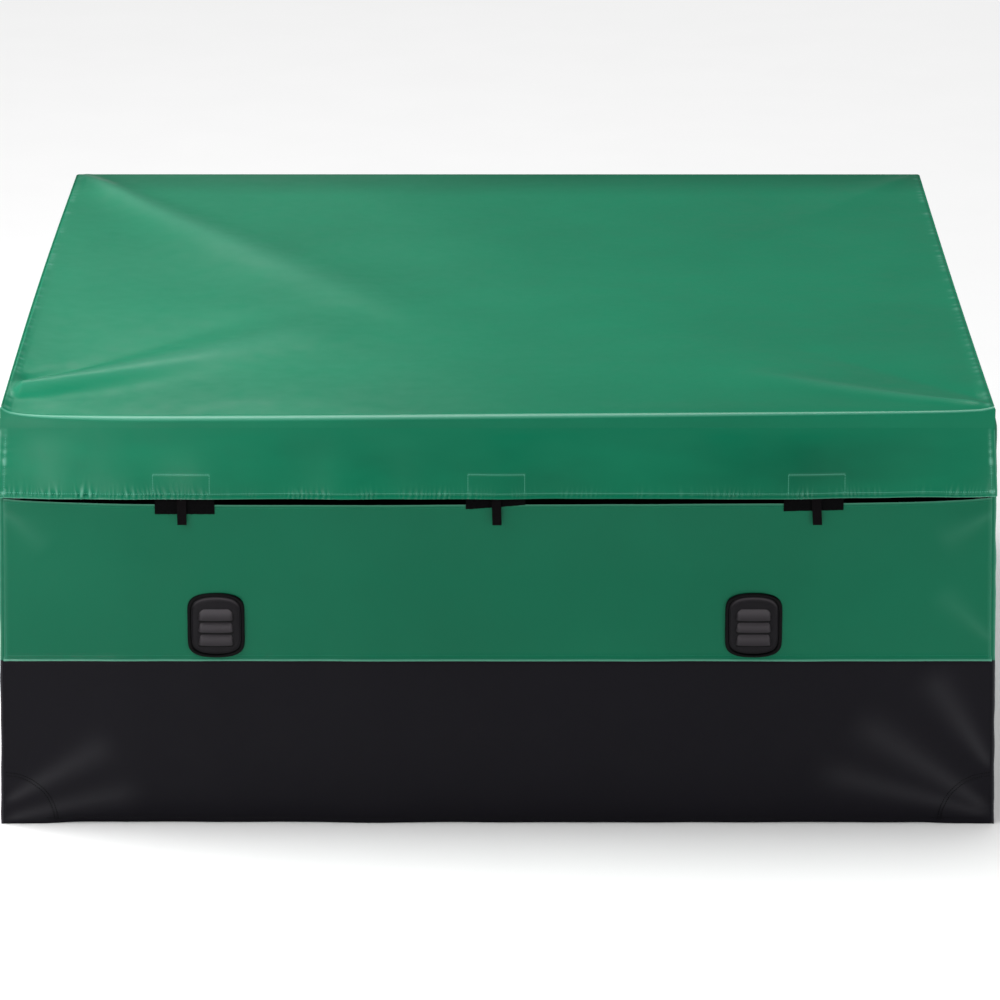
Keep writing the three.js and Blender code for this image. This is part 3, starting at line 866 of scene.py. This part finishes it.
def flap_wear_and_highlights(s, z):
    """Pale, polished places on the flap, partly wear and mostly painted highlights: its edges, the crests of
    the gathers, and round the hook patches.
    """
    above = z - (HEM_Z + HEM_DEPTH)
    from_end = flap_half(z) - np.abs(s)
    outward = (s / TOP_HALF) ** 2
    pale = 0.03 * (1 - smooth(-0.003, 0.0012, above)) + 0.4 * (1 - smooth(0.0006, 0.0024, z - HEM_Z))
    pale = pale * lerp(0.1, 1, outward)
    crests = np.clip(hem_gathers(s, above), 0, 1) * smooth(HEM_Z, HEM_Z + 0.008, z)
    pale = pale + lerp(0.3, 0.5, outward) * crests
    seam = 0.15 + np.clip(needle_pucker(z, 0 * z, END_SEED, pitch=0.026), 0, 1)
    pale = pale + 0.8 * seam * bell(from_end, SIDE_HEM, 0.0035) + 0.25 * (1 - smooth(0.001, 0.004, from_end))
    for closure in CLOSURES:
        x0, x1, top = flap_rectangle(closure)
        over = smooth(x0 - 0.001, x0, s) * (1 - smooth(x1, x1 + 0.001, s))
        pale = pale + 0.3 * over * bell(z, top + 0.001, 0.0016)
        uprights = bell(s, x0, 0.0012) + bell(s, x1, 0.0012)
        pale = pale + 0.08 * uprights * (1 - smooth(top, top + 0.002, z))
    return pale * (1 - smooth(JOIN_Z - 0.01, JOIN_Z, z))


def flap_hem_z(u):
    return HEM_Z + 0.0052 + 0.0016 * u + 0.0007 * ripples(u * TOP_HALF, 0 * u, 66, (0.3, 0.9))


def flap_point(s, z, out=0.0):
    u = np.clip(s / flap_half(z), -1, 1)
    level = lerp(JOIN_Z, flap_hem_z(u), (JOIN_Z - z) / (JOIN_Z - HEM_Z))
    return turned("front", s, -(half_at(level) + flap_out(s, level) + out), level)


def build_flap():
    levels = rows_between(HEM_Z, JOIN_Z, 0.0042, np.linspace(HEM_Z, HEM_Z + 0.024, 21))
    columns = across(1000, 18, 0.018)
    places = [(columns * flap_half(z), np.full_like(columns, z)) for z in levels]
    points = np.array([flap_point(s, z) for s, z in places])
    wear = np.array([flap_wear_and_highlights(s, z) for s, z in places])
    flap = sheet_object("flap_cloth", points, GREEN_CLOTH["flap"], wear=wear)
    hem = build_flap_hem()
    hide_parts("front_flap")
    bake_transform(flap)


def build_flap_hem():
    """The turned-up edge inside the flap."""
    columns = np.linspace(-1, 1, 500)
    points = []
    for z in np.linspace(HEM_Z + 0.0006, HEM_Z + HEM_DEPTH + 0.003, 8):
        s = columns * (flap_half(z) - 0.0006)
        points.append(flap_point(s, np.full_like(s, z), out=-CLOTH - 0.0001))
    hem = sheet_object("flap_hem", np.array(points), GREEN_CLOTH["flap"])
    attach(hem, "flap")
    return hem


# ------------------------------------------------------------------ walls and skirts

def seam_out(above):
    """The green cloth's turned lower edge, lapped over the skirt: a rolled lip, and a dip at its stitches."""
    lap = 0.0009 * (1 - smooth(0.010, 0.016, above)) - 0.0006 * bell(above, SEAM_STITCH, 0.0022)
    return lap + 0.0026 * (1 - smooth(0.0002, 0.0046, above))


def wall_grid(side, holes):
    """A wall's lower edge, its columns, and its rows as shares of the way up. Some run along the holes."""
    low = SEAM_Z - 0.001
    front = side == "front"
    columns = set(np.linspace(-1, 1, 360 if front else 230).round(5))
    extra = [*np.linspace(0.002, 0.05, 14), 0.985, 0.995]
    for lo, hi in holes:
        columns |= {round(lo.x / half_at(lo.z), 5), round(hi.x / half_at(lo.z), 5)}
        extra += [(z - low) / (SLOT_Z - low) for z in (lo.z, hi.z)]
    spacing = 0.006 if front else 0.009
    return low, np.array(sorted(columns)), rows_between(0, 1, spacing / 0.36, extra)


def build_wall(side):
    """The green wall cloth of one side, with the vents' holes in the front one."""
    holes = [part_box("vent_mesh_" + v) for v in VENTS] if side == "front" else []
    low, columns, shares = wall_grid(side, holes)
    points, wear = [], []
    for share in shares:
        z = lerp(low, wall_top(side, columns), share)
        above = z - SEAM_Z
        gathers = needle_pucker(columns * BASE_HALF, above - SEAM_STITCH, 90 + SIDES.index(side), pitch=0.021)
        points.append(wall_point(side, columns * half_at(z), z, out=seam_out(above) + 0.0004 * gathers))
        at_corner = half_at(z) * (1 - np.abs(columns))
        # Pale lines at the rolled lower edge, the top edge and the corners: painted highlights, with a little
        # wear.
        edges = 0.45 * (1 - smooth(0.0015, 0.0042, above)) + 0.3 * bell(z, wall_top(side, columns), 0.002)
        pale = edges + 0.3 * bell(at_corner, 0.002, 0.003)
        wear.append(pale + 0.06 * crease_whitening_and_sheen(side, columns * half_at(z), z))
    keep = None
    points = np.array(points)
    if holes:
        centre = (points[:-1, :-1] + points[1:, 1:]) / 2
        keep = np.ones(centre.shape[:2], bool)
        for lo, hi in holes:
            inside = (centre[..., 0] > lo.x) & (centre[..., 0] < hi.x)
            keep &= ~(inside & (centre[..., 2] > lo.z) & (centre[..., 2] < hi.z))
    wall = sheet_object(side + "_wall_cloth", points, GREEN_CLOTH[side], keep=keep, wear=np.array(wear))
    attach(wall, "enclosure")
    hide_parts(side + "_panel")


def skirt_hem(z):
    """The skirt's turned-up lower edge stands out by one more ply."""
    return 0.0009 * (1 - smooth(0.010, 0.016, z))


def build_skirt(side):
    columns = np.linspace(-1, 1, 300 if side == "front" else 220)
    seed = 130 + SIDES.index(side)
    between_corners = 1 - smooth(0.84, 0.93, np.abs(columns))
    points, wear = [], []
    for z in rows_between(0.0, SEAM_Z + SKIRT_LAP, 0.0085, [0.001, 0.003, 0.012, 0.016]):
        s = columns * half_at(z)
        # Pale streaks along the skirt's creases: painted sheen, with some stress whitening.
        wear.append(0.12 * crease_whitening_and_sheen(side, s, z + 0 * columns))
        tuck = -0.0014 * smooth(SEAM_Z - 0.004, SEAM_Z + 0.001, z)
        curl = -0.010 * np.clip(1 - z / 0.055, 0, 1) ** 2 * between_corners
        wave = 0.0022 * smooth(0.07, 0.0, z) * ripples(columns * BASE_HALF, 0 * columns, seed, (0.16, 0.5))
        wave = wave * (1 - np.abs(columns) ** 12)
        out = tuck + skirt_hem(z) + wave + curl
        points.append(wall_point(side, s, np.full_like(columns, z), out=out))
    skirt = sheet_object(side + "_skirt_cloth", np.array(points), BLACK_CLOTH[side], wear=np.array(wear))
    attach(skirt, "enclosure")
    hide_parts(side + "_skirt")


def build_flange(corner, level, low, high, material):
    """The sewn fin along a vertical corner: two plies standing out past the front or back face."""
    left = corner.endswith("left")
    side = "front" if corner.startswith("front") else "back"
    to_right = left == (side == "back")
    order = 1 if to_right else -1
    seed = 150 + CORNERS.index(corner)
    reach = np.array([-0.0015, 0.001, 0.004, FLANGE])
    points = []
    for z in rows_between(low, high, 0.006):
        wave = 0.0012 * ripples(z, 0.0, seed, (0.05, 0.2)) + 0.0004
        narrower = 0.004 * smooth(JOIN_Z, JOIN_Z + 0.03, z)
        end = FLANGE + 0.0009 * ripples(z, 0.3, seed + 9, (0.06, 0.3)) - narrower
        out = reach * end / FLANGE
        s = half_at(z) + out
        depth = wave * (out / FLANGE) ** 2 + 0.0006
        row = turned(side, order * s, -(half_at(z) + depth), np.full_like(s, z))
        points.append(row[::order])
    # Paler towards the fin's outer edge: a painted highlight along it.
    wear = np.array([0, 0, 0.1, 0.5])[::order]
    fin = sheet_object(f"corner_fin_{corner}_{level}", np.array(points), material, thickness=0.002, wear=wear)
    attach(fin, "enclosure")


def build_welt():
    """Corded seam where the top sheet meets the side and back walls."""
    inset, radius = 0.0006, 0.006
    turns = np.linspace(0, math.pi / 2, 6)
    ys = np.linspace(-TOP_HALF + 0.012, TOP_HALF - radius, 90)
    left, right = top_edge(ys)
    back = TOP_HALF + inset
    corner = np.column_stack([back - radius + radius * np.sin(turns), back - radius + radius * np.cos(turns)])
    plan = np.concatenate([
        np.column_stack([-left - inset, ys]),
        (corner * (-1, 1))[::-1],
        corner,
        np.column_stack([right + inset, ys])[::-1],
    ])
    height = top_height(plan[:, 0], plan[:, 1]) - 0.0026
    vertices, faces = tube_mesh(np.column_stack([plan, height]), 0.0019)
    welt = new_object("top_welt", vertices, faces, GREEN_CLOTH["top"], flat_angle=60)
    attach(welt, "enclosure")


# ------------------------------------------------------------------ seams and stitches

def flap_rectangle(closure):
    """Corners (x0, x1, top z) of the stitches round a hook patch."""
    lo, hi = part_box("hook_patch_" + closure)
    return lo.x + 0.001, hi.x - 0.001, hi.z - 0.001


def build_flap_stitches():
    half = flap_half(HEM_Z)
    hem_line = HEM_Z + HEM_DEPTH
    lines = [line_between((-half + 0.004, hem_line), (half - 0.004, hem_line))]
    for side in (-1, 1):
        ends = [(side * (flap_half(z) - SIDE_HEM), z) for z in (HEM_Z + 0.002, BEND_LOW_Z - 0.004)]
        lines.append(line_between(*ends))
    for closure in CLOSURES:
        x0, x1, top = flap_rectangle(closure)
        corners = [(x0, hem_line), (x0, top), (x1, top), (x1, hem_line)]
        lines += [line_between(a, b) for a, b in zip(corners, corners[1:])]
    stitches = new_object("flap_stitches", *merge([sew(flap_point, line) for line in lines]), GREEN_THREAD)
    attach(stitches, "flap")


def build_wall_stitches():
    rows = []
    for side in SIDES:
        def surface(s, z, side=side):
            return wall_point(side, s, z, out=seam_out(z - SEAM_Z))

        z = SEAM_Z + SEAM_STITCH
        end = half_at(z) - 0.004
        rows.append(sew(surface, line_between((-end, z), (end, z))))
        u = np.linspace(-0.995, 0.995, 500)
        level = wall_top(side, u) - (0.0075 if side == "front" else 0.011)
        rows.append(sew(surface, (u * half_at(level), level)))
        for edge in (-1, 1):
            top = float(wall_top(side, np.array(edge))) - 0.012
            s = edge * (half_at(z) - 0.007)
            rows.append(sew(surface, line_between((s, SEAM_Z + 0.002), (s, top))))
    stitches = new_object("wall_stitches", *merge(rows), SEAM_THREAD)
    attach(stitches, "enclosure")


def build_skirt_stitches():
    rows = []
    inset = 0.004
    corner = BASE_HALF - inset
    for side in SIDES:
        def surface(s, z, side=side):
            return wall_point(side, s, z, out=skirt_hem(z))

        end = BASE_HALF - 0.006
        rows.append(sew(surface, line_between((-end, 0.013), (end, 0.013))))
        for radius in (PATCH_R, PATCH_R - 0.007):
            reach = math.asin(inset / radius)
            right = arc_line((corner, inset), radius, math.pi / 2, math.pi - reach)
            left = arc_line((-corner, inset), radius, reach, math.pi / 2)
            rows += [sew(surface, arc, radius=0.0009) for arc in (right, left)]
    stitches = new_object("skirt_stitches", *merge(rows), BLACK_THREAD)
    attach(stitches, "enclosure")


# ------------------------------------------------------------------ closures

TAPES = {
    # closure: how far its lower edge is raised, how much that edge tilts, and the tape's shift to the right
    "left": (-0.0005, 0.0, 0.0065),
    "center": (0.0155, 0.0048, -0.0015),
    "right": (0.0075, 0.0012, -0.0055),
}


def build_tape(closure):
    """Loop tape sewn to the front wall's top edge, and standing behind the flap."""
    lo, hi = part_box("loop_tape_" + closure)
    raised, tilt, shift = TAPES[closure]
    xs = np.linspace(lo.x - 0.0025, hi.x + 0.0025, 44) + shift
    levels = rows_between(lo.z + raised, hi.z - 0.001, 0.004)
    points = []
    for z in levels:
        share = (z - levels[0]) / (levels[-1] - levels[0])
        ragged = 0.0003 * ripples(xs, 0 * xs, 170 + CLOSURES.index(closure), (0.004, 0.02))
        level = z + (tilt * (xs - xs.mean()) / 0.06 + ragged) * (1 - share)
        points.append(wall_point("front", xs, level, out=0.0021))
    tape = sheet_object("loop_strip_" + closure, np.array(points), LOOP, thickness=0.0018)
    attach(tape, "enclosure")
    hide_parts("loop_tape_" + closure)


def build_hook_patch(closure):
    """Hook tape inside the flap, with rows of tiny hooks."""
    lo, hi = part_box("hook_patch_" + closure)
    xs = np.linspace(lo.x + 0.001, hi.x - 0.001, 50)
    levels = np.linspace(hi.z - 0.001, lo.z, 16)
    inside = -2 * CLOTH - 0.0003
    points = np.array([flap_point(xs, np.full_like(xs, z), out=inside - 0.0009) for z in levels])
    backing = shell_mesh(points, -0.0008)[:2]
    rows, columns = np.meshgrid(np.linspace(lo.z + 0.002, hi.z - 0.003, 20), xs[1:-1], indexing="ij")
    roots = flap_point(columns.ravel(), rows.ravel(), out=inside - 0.0009)
    hooks = []
    for x, y, z in roots:
        w = 0.0004
        base = [(x - w, y, z - w), (x + w, y, z - w), (x + w, y, z + w), (x - w, y, z + w)]
        tip = [(x - w * 0.6, y + 0.0009, z - w * 2), (x + w * 0.6, y + 0.0009, z - w * 2)]
        hooks.append((base + tip, [(0, 1, 2, 3), (0, 4, 5, 1), (1, 5, 2), (2, 5, 4, 3), (3, 4, 0)]))
    vertices, faces = merge([backing, *hooks])
    patch = new_object("hook_strip_" + closure, vertices, faces, LOOP)
    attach(patch, "flap")
    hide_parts("hook_patch_" + closure)


def build_pull_tab(closure):
    """A folded strip of webbing: both legs leave the hem together and its fold is at the bottom."""
    lo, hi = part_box("pull_tab_" + closure)
    width = hi.x - lo.x
    centre_x = (hi.x + lo.x) / 2
    slant = {"left": 0.0002, "center": 0.0004, "right": 0.0008}[closure]
    top_y = (lo.y + hi.y) / 2
    high = hi.z + 0.006
    length = high - lo.z
    leg = np.linspace(0, 1, 22)
    gap = 0.0011 + 0.0009 * np.sin(math.pi * leg)
    outer = [(top_y - g, high - t * (length - 0.0015)) for t, g in zip(leg, gap)]
    turns = np.linspace(0, math.pi, 7)[1:-1]
    bottom = lo.z + 0.0015
    fold = [(top_y - gap[-1] * math.cos(a), bottom - gap[-1] * math.sin(a)) for a in turns]
    inner = [(top_y + g * 0.5, z) for (_, z), g in zip(outer[::-1], gap[::-1])]
    line = np.array(outer + fold + inner)
    across = np.linspace(-0.5, 0.5, 9)
    points = []
    for y, z in line:
        down = (high - z) / length
        x = centre_x + across * width + slant * down * 4
        curl = 0.0006 * down * (4 * across ** 2 - 0.5)
        points.append(np.stack([x, np.full_like(x, y) - curl - 0.0016 * down ** 2, np.full_like(x, z)], -1))
    strip = np.array(points)[::-1]
    tab = sheet_object("pull_strap_" + closure, strip, WEBBING, thickness=0.0009)
    bevel = tab.modifiers.new("soft_edges", "BEVEL")
    bevel.width = 0.0003
    bevel.segments = 2
    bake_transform(tab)
    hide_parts("pull_tab_" + closure)


# ------------------------------------------------------------------ vents

WIRE_R = 0.00022  # of the insect screen
FIELD_OUT = 0.0045  # how far the field that carries the hoods stands out
RIM_PROFILE = [
    (0, 0.0002), (0, 0.0026), (0.04, 0.0042), (0.14, 0.0055), (0.3, 0.0062), (0.55, 0.0062),
    (0.72, 0.0057), (0.84, 0.0046), (0.9, 0.0032), (1, 0.0024), (1, 0.0002),
]
FACE_PROFILE = [
    (0, 0.0003), (0, 0.0024), (0.12, 0.0024), (0.2, 0.0034), (0.34, 0.0042), (0.8, 0.0046), (1, 0.0046),
    (1, 0.0003),
]
HOOD_WIDTH = 0.077
BOX_FACES = [(0, 2, 3, 1), (4, 5, 7, 6), (0, 1, 5, 4), (2, 6, 7, 3), (0, 4, 6, 2), (1, 3, 7, 5)]
HOODS = [
    # mouth's height, top's height, how round the top is
    (0.0145, 0.0375, 0.2), (-0.0120, 0.0072, 0.05), (-0.0418, -0.0200, 0.05),
]


def vent_outline(half_w, half_h, count=96):
    """Nearly straight sides, soft shoulders and arched ends, as points going round."""
    turns = np.linspace(0, 2 * math.pi, count, endpoint=False) + math.pi / count
    x, z = np.cos(turns), np.sin(turns)
    power = 7.5
    radius = (np.abs(x) ** power + (np.abs(z) * 0.92) ** power) ** (-1 / power)
    x, z = x * radius, z * radius
    z = z * (1 - 0.19 * np.abs(x) ** 2.4)
    return np.column_stack([x * half_w, z / np.abs(z).max() * half_h])


def hood_mesh(width, low, high, out, rounded):
    """One louvre: a flat face sloping out to its mouth, with sloping cheeks, open below."""
    across = np.linspace(-1, 1, 41)
    points = []
    for t in np.linspace(0, 1, 15):
        half = width / 2 * (1 - 0.1 * t - rounded * np.clip((t - 0.45) / 0.55, 0, 1) ** 2.6)
        shoulder = np.clip(1 - np.abs(across) ** 14, 0, 1) ** 0.5
        rise = out * (1 - t) ** 0.85 + 0.0012 * math.sin(math.pi * t)
        z = lerp(low, high, t) - 0.0012 * (1 - across ** 2) * (1 - t)
        points.append(np.column_stack([across * half, z, rise * shoulder]))
    return shell_mesh(np.array(points), 0.0014)[:2]


def vent_to_world(vertices, centre_x, centre_z):
    """Vent drawings are (across, up, out). They lean with the wall's cloth."""
    vertices = np.asarray(vertices)
    x, z = centre_x + vertices[:, 0], centre_z + vertices[:, 1]
    base = wall_out("front", np.array(centre_x / half_at(centre_z)), np.array(centre_z))
    return np.column_stack([x, -(half_at(z) + base + vertices[:, 2]), z])


def build_vent(side):
    lo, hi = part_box("vent_louvre_" + side)
    centre_x, centre_z = (lo.x + hi.x) / 2, (lo.z + hi.z) / 2
    half_w, half_h = (hi.x - lo.x) / 2, (hi.z - lo.z) / 2

    def vent_object(name, mesh, material):
        vertices, faces = mesh
        return new_object(name + side, vent_to_world(vertices, centre_x, centre_z), faces, material, 40)

    rim_in = vent_outline(half_w - 0.0085, half_h - 0.0085)
    opening = vent_outline(half_w - 0.022, half_h - 0.026)
    ring = outline_plate(vent_outline(half_w, half_h), rim_in, RIM_PROFILE)
    face = outline_plate(rim_in, opening, FACE_PROFILE)
    field = outline_plate(opening, opening * 0.02, [(0, 0.0004), (0, FIELD_OUT), (1, FIELD_OUT), (1, 0.0004)])
    hoods, under_hood_shadows = [], []
    for low, high, rounded in HOODS:
        vertices, faces = hood_mesh(HOOD_WIDTH, low, high, 0.0105, rounded)
        hoods.append((vertices + (0, 0, FIELD_OUT - 0.0006), faces))
        # A dark box just below each hood's lower edge: painted shadow under the hood.
        box = [(x * HOOD_WIDTH * 0.49, low - 0.0062 + z * 0.0075, FIELD_OUT + 0.0002 + o * 0.0004)
               for o in (0, 1) for z in (0, 1) for x in (-1, 1)]
        under_hood_shadows.append((np.array(box), BOX_FACES))
    rim = vent_object("vent_rim_", ring, RIM_PLASTIC)
    fix_normals(rim)
    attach(rim, "enclosure")
    vent = vent_object("vent_housing_", merge([face, field, *hoods]), VENT_PLASTIC)
    fix_normals(vent)
    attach(vent, "enclosure")
    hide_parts("vent_louvre_" + side)
    # Painted shadow strips under the hoods.
    dark = vent_object("vent_under_hood_shadows_", merge(under_hood_shadows), MESH_PLASTIC)
    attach(dark, "enclosure")


def fix_normals(obj):
    work = bmesh.new()
    work.from_mesh(obj.data)
    bmesh.ops.recalc_face_normals(work, faces=work.faces)
    work.to_mesh(obj.data)
    work.free()


def build_vent_mesh(side):
    """Woven insect screen in the cloth's hole."""
    lo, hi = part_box("vent_mesh_" + side)
    y = (lo.y + hi.y) / 2
    pitch = 0.0022
    wires = []
    for x in np.arange(lo.x + pitch / 2, hi.x, pitch):
        wires.append(wire((x, y, lo.z), (x, y, hi.z), WIRE_R))
    for z in np.arange(lo.z + pitch / 2, hi.z, pitch):
        wires.append(wire((lo.x, y - 0.0003, z), (hi.x, y - 0.0003, z), WIRE_R))
    vertices, faces = merge(wires)
    vertices[:, 1] -= half_at(vertices[:, 2]) - half_at((lo.z + hi.z) / 2)
    screen = new_object("insect_screen_" + side, vertices, faces, MESH_PLASTIC)
    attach(screen, "enclosure")
    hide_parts("vent_mesh_" + side)


def wire(start, end, radius):
    start, end = np.array(start), np.array(end)
    along = (end - start) / np.linalg.norm(end - start)
    side = np.cross(along, (0, 1, 0)) * radius
    deep = np.array((0, radius, 0))
    ring = [side, deep, -side, -deep]
    vertices = [p + r for p in (start, end) for r in ring]
    faces = [(i, (i + 1) % 4, 4 + (i + 1) % 4, 4 + i) for i in range(4)]
    return vertices, faces + [(3, 2, 1, 0), (4, 5, 6, 7)]


# ------------------------------------------------------------------ frame and inner pieces

def finish_node(name, material, bevel=0.0006):
    """Material, smooth shading and softened edges on a part that keeps its shape."""
    node = frame["nodes"][name]
    node.data.materials.clear()
    node.data.materials.append(material)
    node.data.shade_smooth()
    node.data.set_sharp_from_angle(angle=math.radians(32))
    soft = node.modifiers.new("soft_edges", "BEVEL")
    soft.width = bevel
    soft.segments = 2
    soft.limit_method = "ANGLE"
    soft.angle_limit = math.radians(35)


def finish_frame():
    for name in frame["nodes"]:
        if name.startswith(("post_", "top_rail_", "base_rail_", "crossbar_")):
            finish_node(name, TUBE_PAINT, bevel=0.0003)
        elif name.startswith(("top_corner_", "foot_", "tee_")):
            finish_node(name, NYLON)
        elif name.startswith("corner_patch_"):
            finish_node(name, BLACK_CLOTH["front"], bevel=0.0004)
        elif name.startswith("hold_down_strap_"):
            finish_node(name, WEBBING, bevel=0.0004)
        elif name.startswith("vent_ring_"):
            finish_node(name, VENT_PLASTIC, bevel=0.0005)


# ------------------------------------------------------------------ set, camera and lights

def build_floor():
    mesh = bpy.data.meshes.new("floor")
    half = 60
    corners = [(-half, -half, 0), (half, -half, 0), (half, half, 0), (-half, half, 0)]
    mesh.from_pydata(corners, [], [(0, 1, 2, 3)])
    mesh.materials.append(floor_material())
    floor = bpy.data.objects.new("floor", mesh)
    floor.location.z = -0.0006
    bpy.context.scene.collection.objects.link(floor)


def add_light(data, aim):
    """A light of this data, shining along `aim`."""
    light = bpy.data.objects.new(data.name, data)
    light.rotation_euler = aim.to_track_quat("-Z", "Y").to_euler()
    bpy.context.scene.collection.objects.link(light)
    return light


def area_light(name, place, target, size, power):
    data = bpy.data.lights.new(name, "AREA")
    data.shape = "RECTANGLE"
    data.size, data.size_y = size
    data.energy = power
    light = add_light(data, Vector(target) - Vector(place))
    light.location = place
    light.visible_camera = False


def sun_light(name, azimuth, elevation, angle, strength):
    """A very soft sun. Azimuth 0 stands in front (-Y) and turns towards +X."""
    data = bpy.data.lights.new(name, "SUN")
    data.angle = math.radians(angle)
    data.energy = strength
    across, up = math.radians(azimuth), math.radians(elevation)
    place = Vector((math.sin(across) * math.cos(up), -math.cos(across) * math.cos(up), math.sin(up)))
    add_light(data, -place)


def build_lights():
    sun_light("soft_sky", -125, 78, 50, 2.65)
    area_light("overhead_strip", (-0.7, -1.3, 3.2), (-0.4, -1.1, 0.9), (3.0, 1.2), 14)
    area_light("window_left", (-3.4, -0.1, 2.8), (-0.6, 0.1, 0.9), (2.0, 1.6), 90)
    area_light("corner_key", (-1.35, -1.75, 1.5), (-0.85, -1.05, 0.82), (0.5, 0.5), 6)
    area_light("flap_sheen", (-1.75, -5.0, 0.65), (-1.0, -1.07, 0.8), (1.0, 1.2), 27)
    area_light("right_fill", (2.3, -2.7, 0.7), (0.95, -1.05, 0.25), (0.8, 0.8), 14)
    area_light("back_glow", (-1.4, 6.0, 4.1), (-0.6, 0, 0.9), (2.2, 0.9), 12)
    world = bpy.data.worlds.new("studio")
    world.use_nodes = True
    background = world.node_tree.nodes["Background"]
    background.inputs["Strength"].default_value = 1.0
    backdrop = world.node_tree.nodes.new("ShaderNodeMix")
    backdrop.data_type = "RGBA"
    backdrop.inputs["A"].default_value = (0.16, 0.16, 0.16, 1)
    backdrop.inputs["B"].default_value = (0.93, 0.93, 0.93, 1)
    seen = world.node_tree.nodes.new("ShaderNodeLightPath").outputs["Is Camera Ray"]
    world.node_tree.links.new(seen, backdrop.inputs["Factor"])
    world.node_tree.links.new(backdrop.outputs["Result"], background.inputs["Color"])
    bpy.context.scene.world = world


def build_camera():
    data = bpy.data.cameras.new("camera")
    data.sensor_width = 36
    data.lens = 190.23
    data.clip_end = 200
    camera = bpy.data.objects.new("camera", data)
    camera.location = (0.005, -11.976, 4.069)
    camera.rotation_euler = (math.radians(73.02), 0, 0)
    bpy.context.scene.collection.objects.link(camera)
    bpy.context.scene.camera = camera


# ------------------------------------------------------------------ build

bpy.context.scene.view_settings.view_transform = "Standard"
build_camera()
build_top_sheet()
build_flap()
for side in SIDES:
    build_wall(side)
    build_skirt(side)
for corner in CORNERS:
    high = JOIN_Z + 0.02 if corner.startswith("front") else HEIGHT - 0.012
    plane = "front" if corner.startswith("front") else "back"
    build_flange(corner, "upper", SEAM_Z, high, GREEN_CLOTH[plane])
    build_flange(corner, "lower", 0.0, SEAM_Z, BLACK_CLOTH[plane])
build_welt()
build_flap_stitches()
build_wall_stitches()
build_skirt_stitches()
for closure in CLOSURES:
    build_tape(closure)
    build_hook_patch(closure)
    build_pull_tab(closure)
for vent in VENTS:
    build_vent(vent)
    build_vent_mesh(vent)
finish_frame()
build_floor()
build_lights()
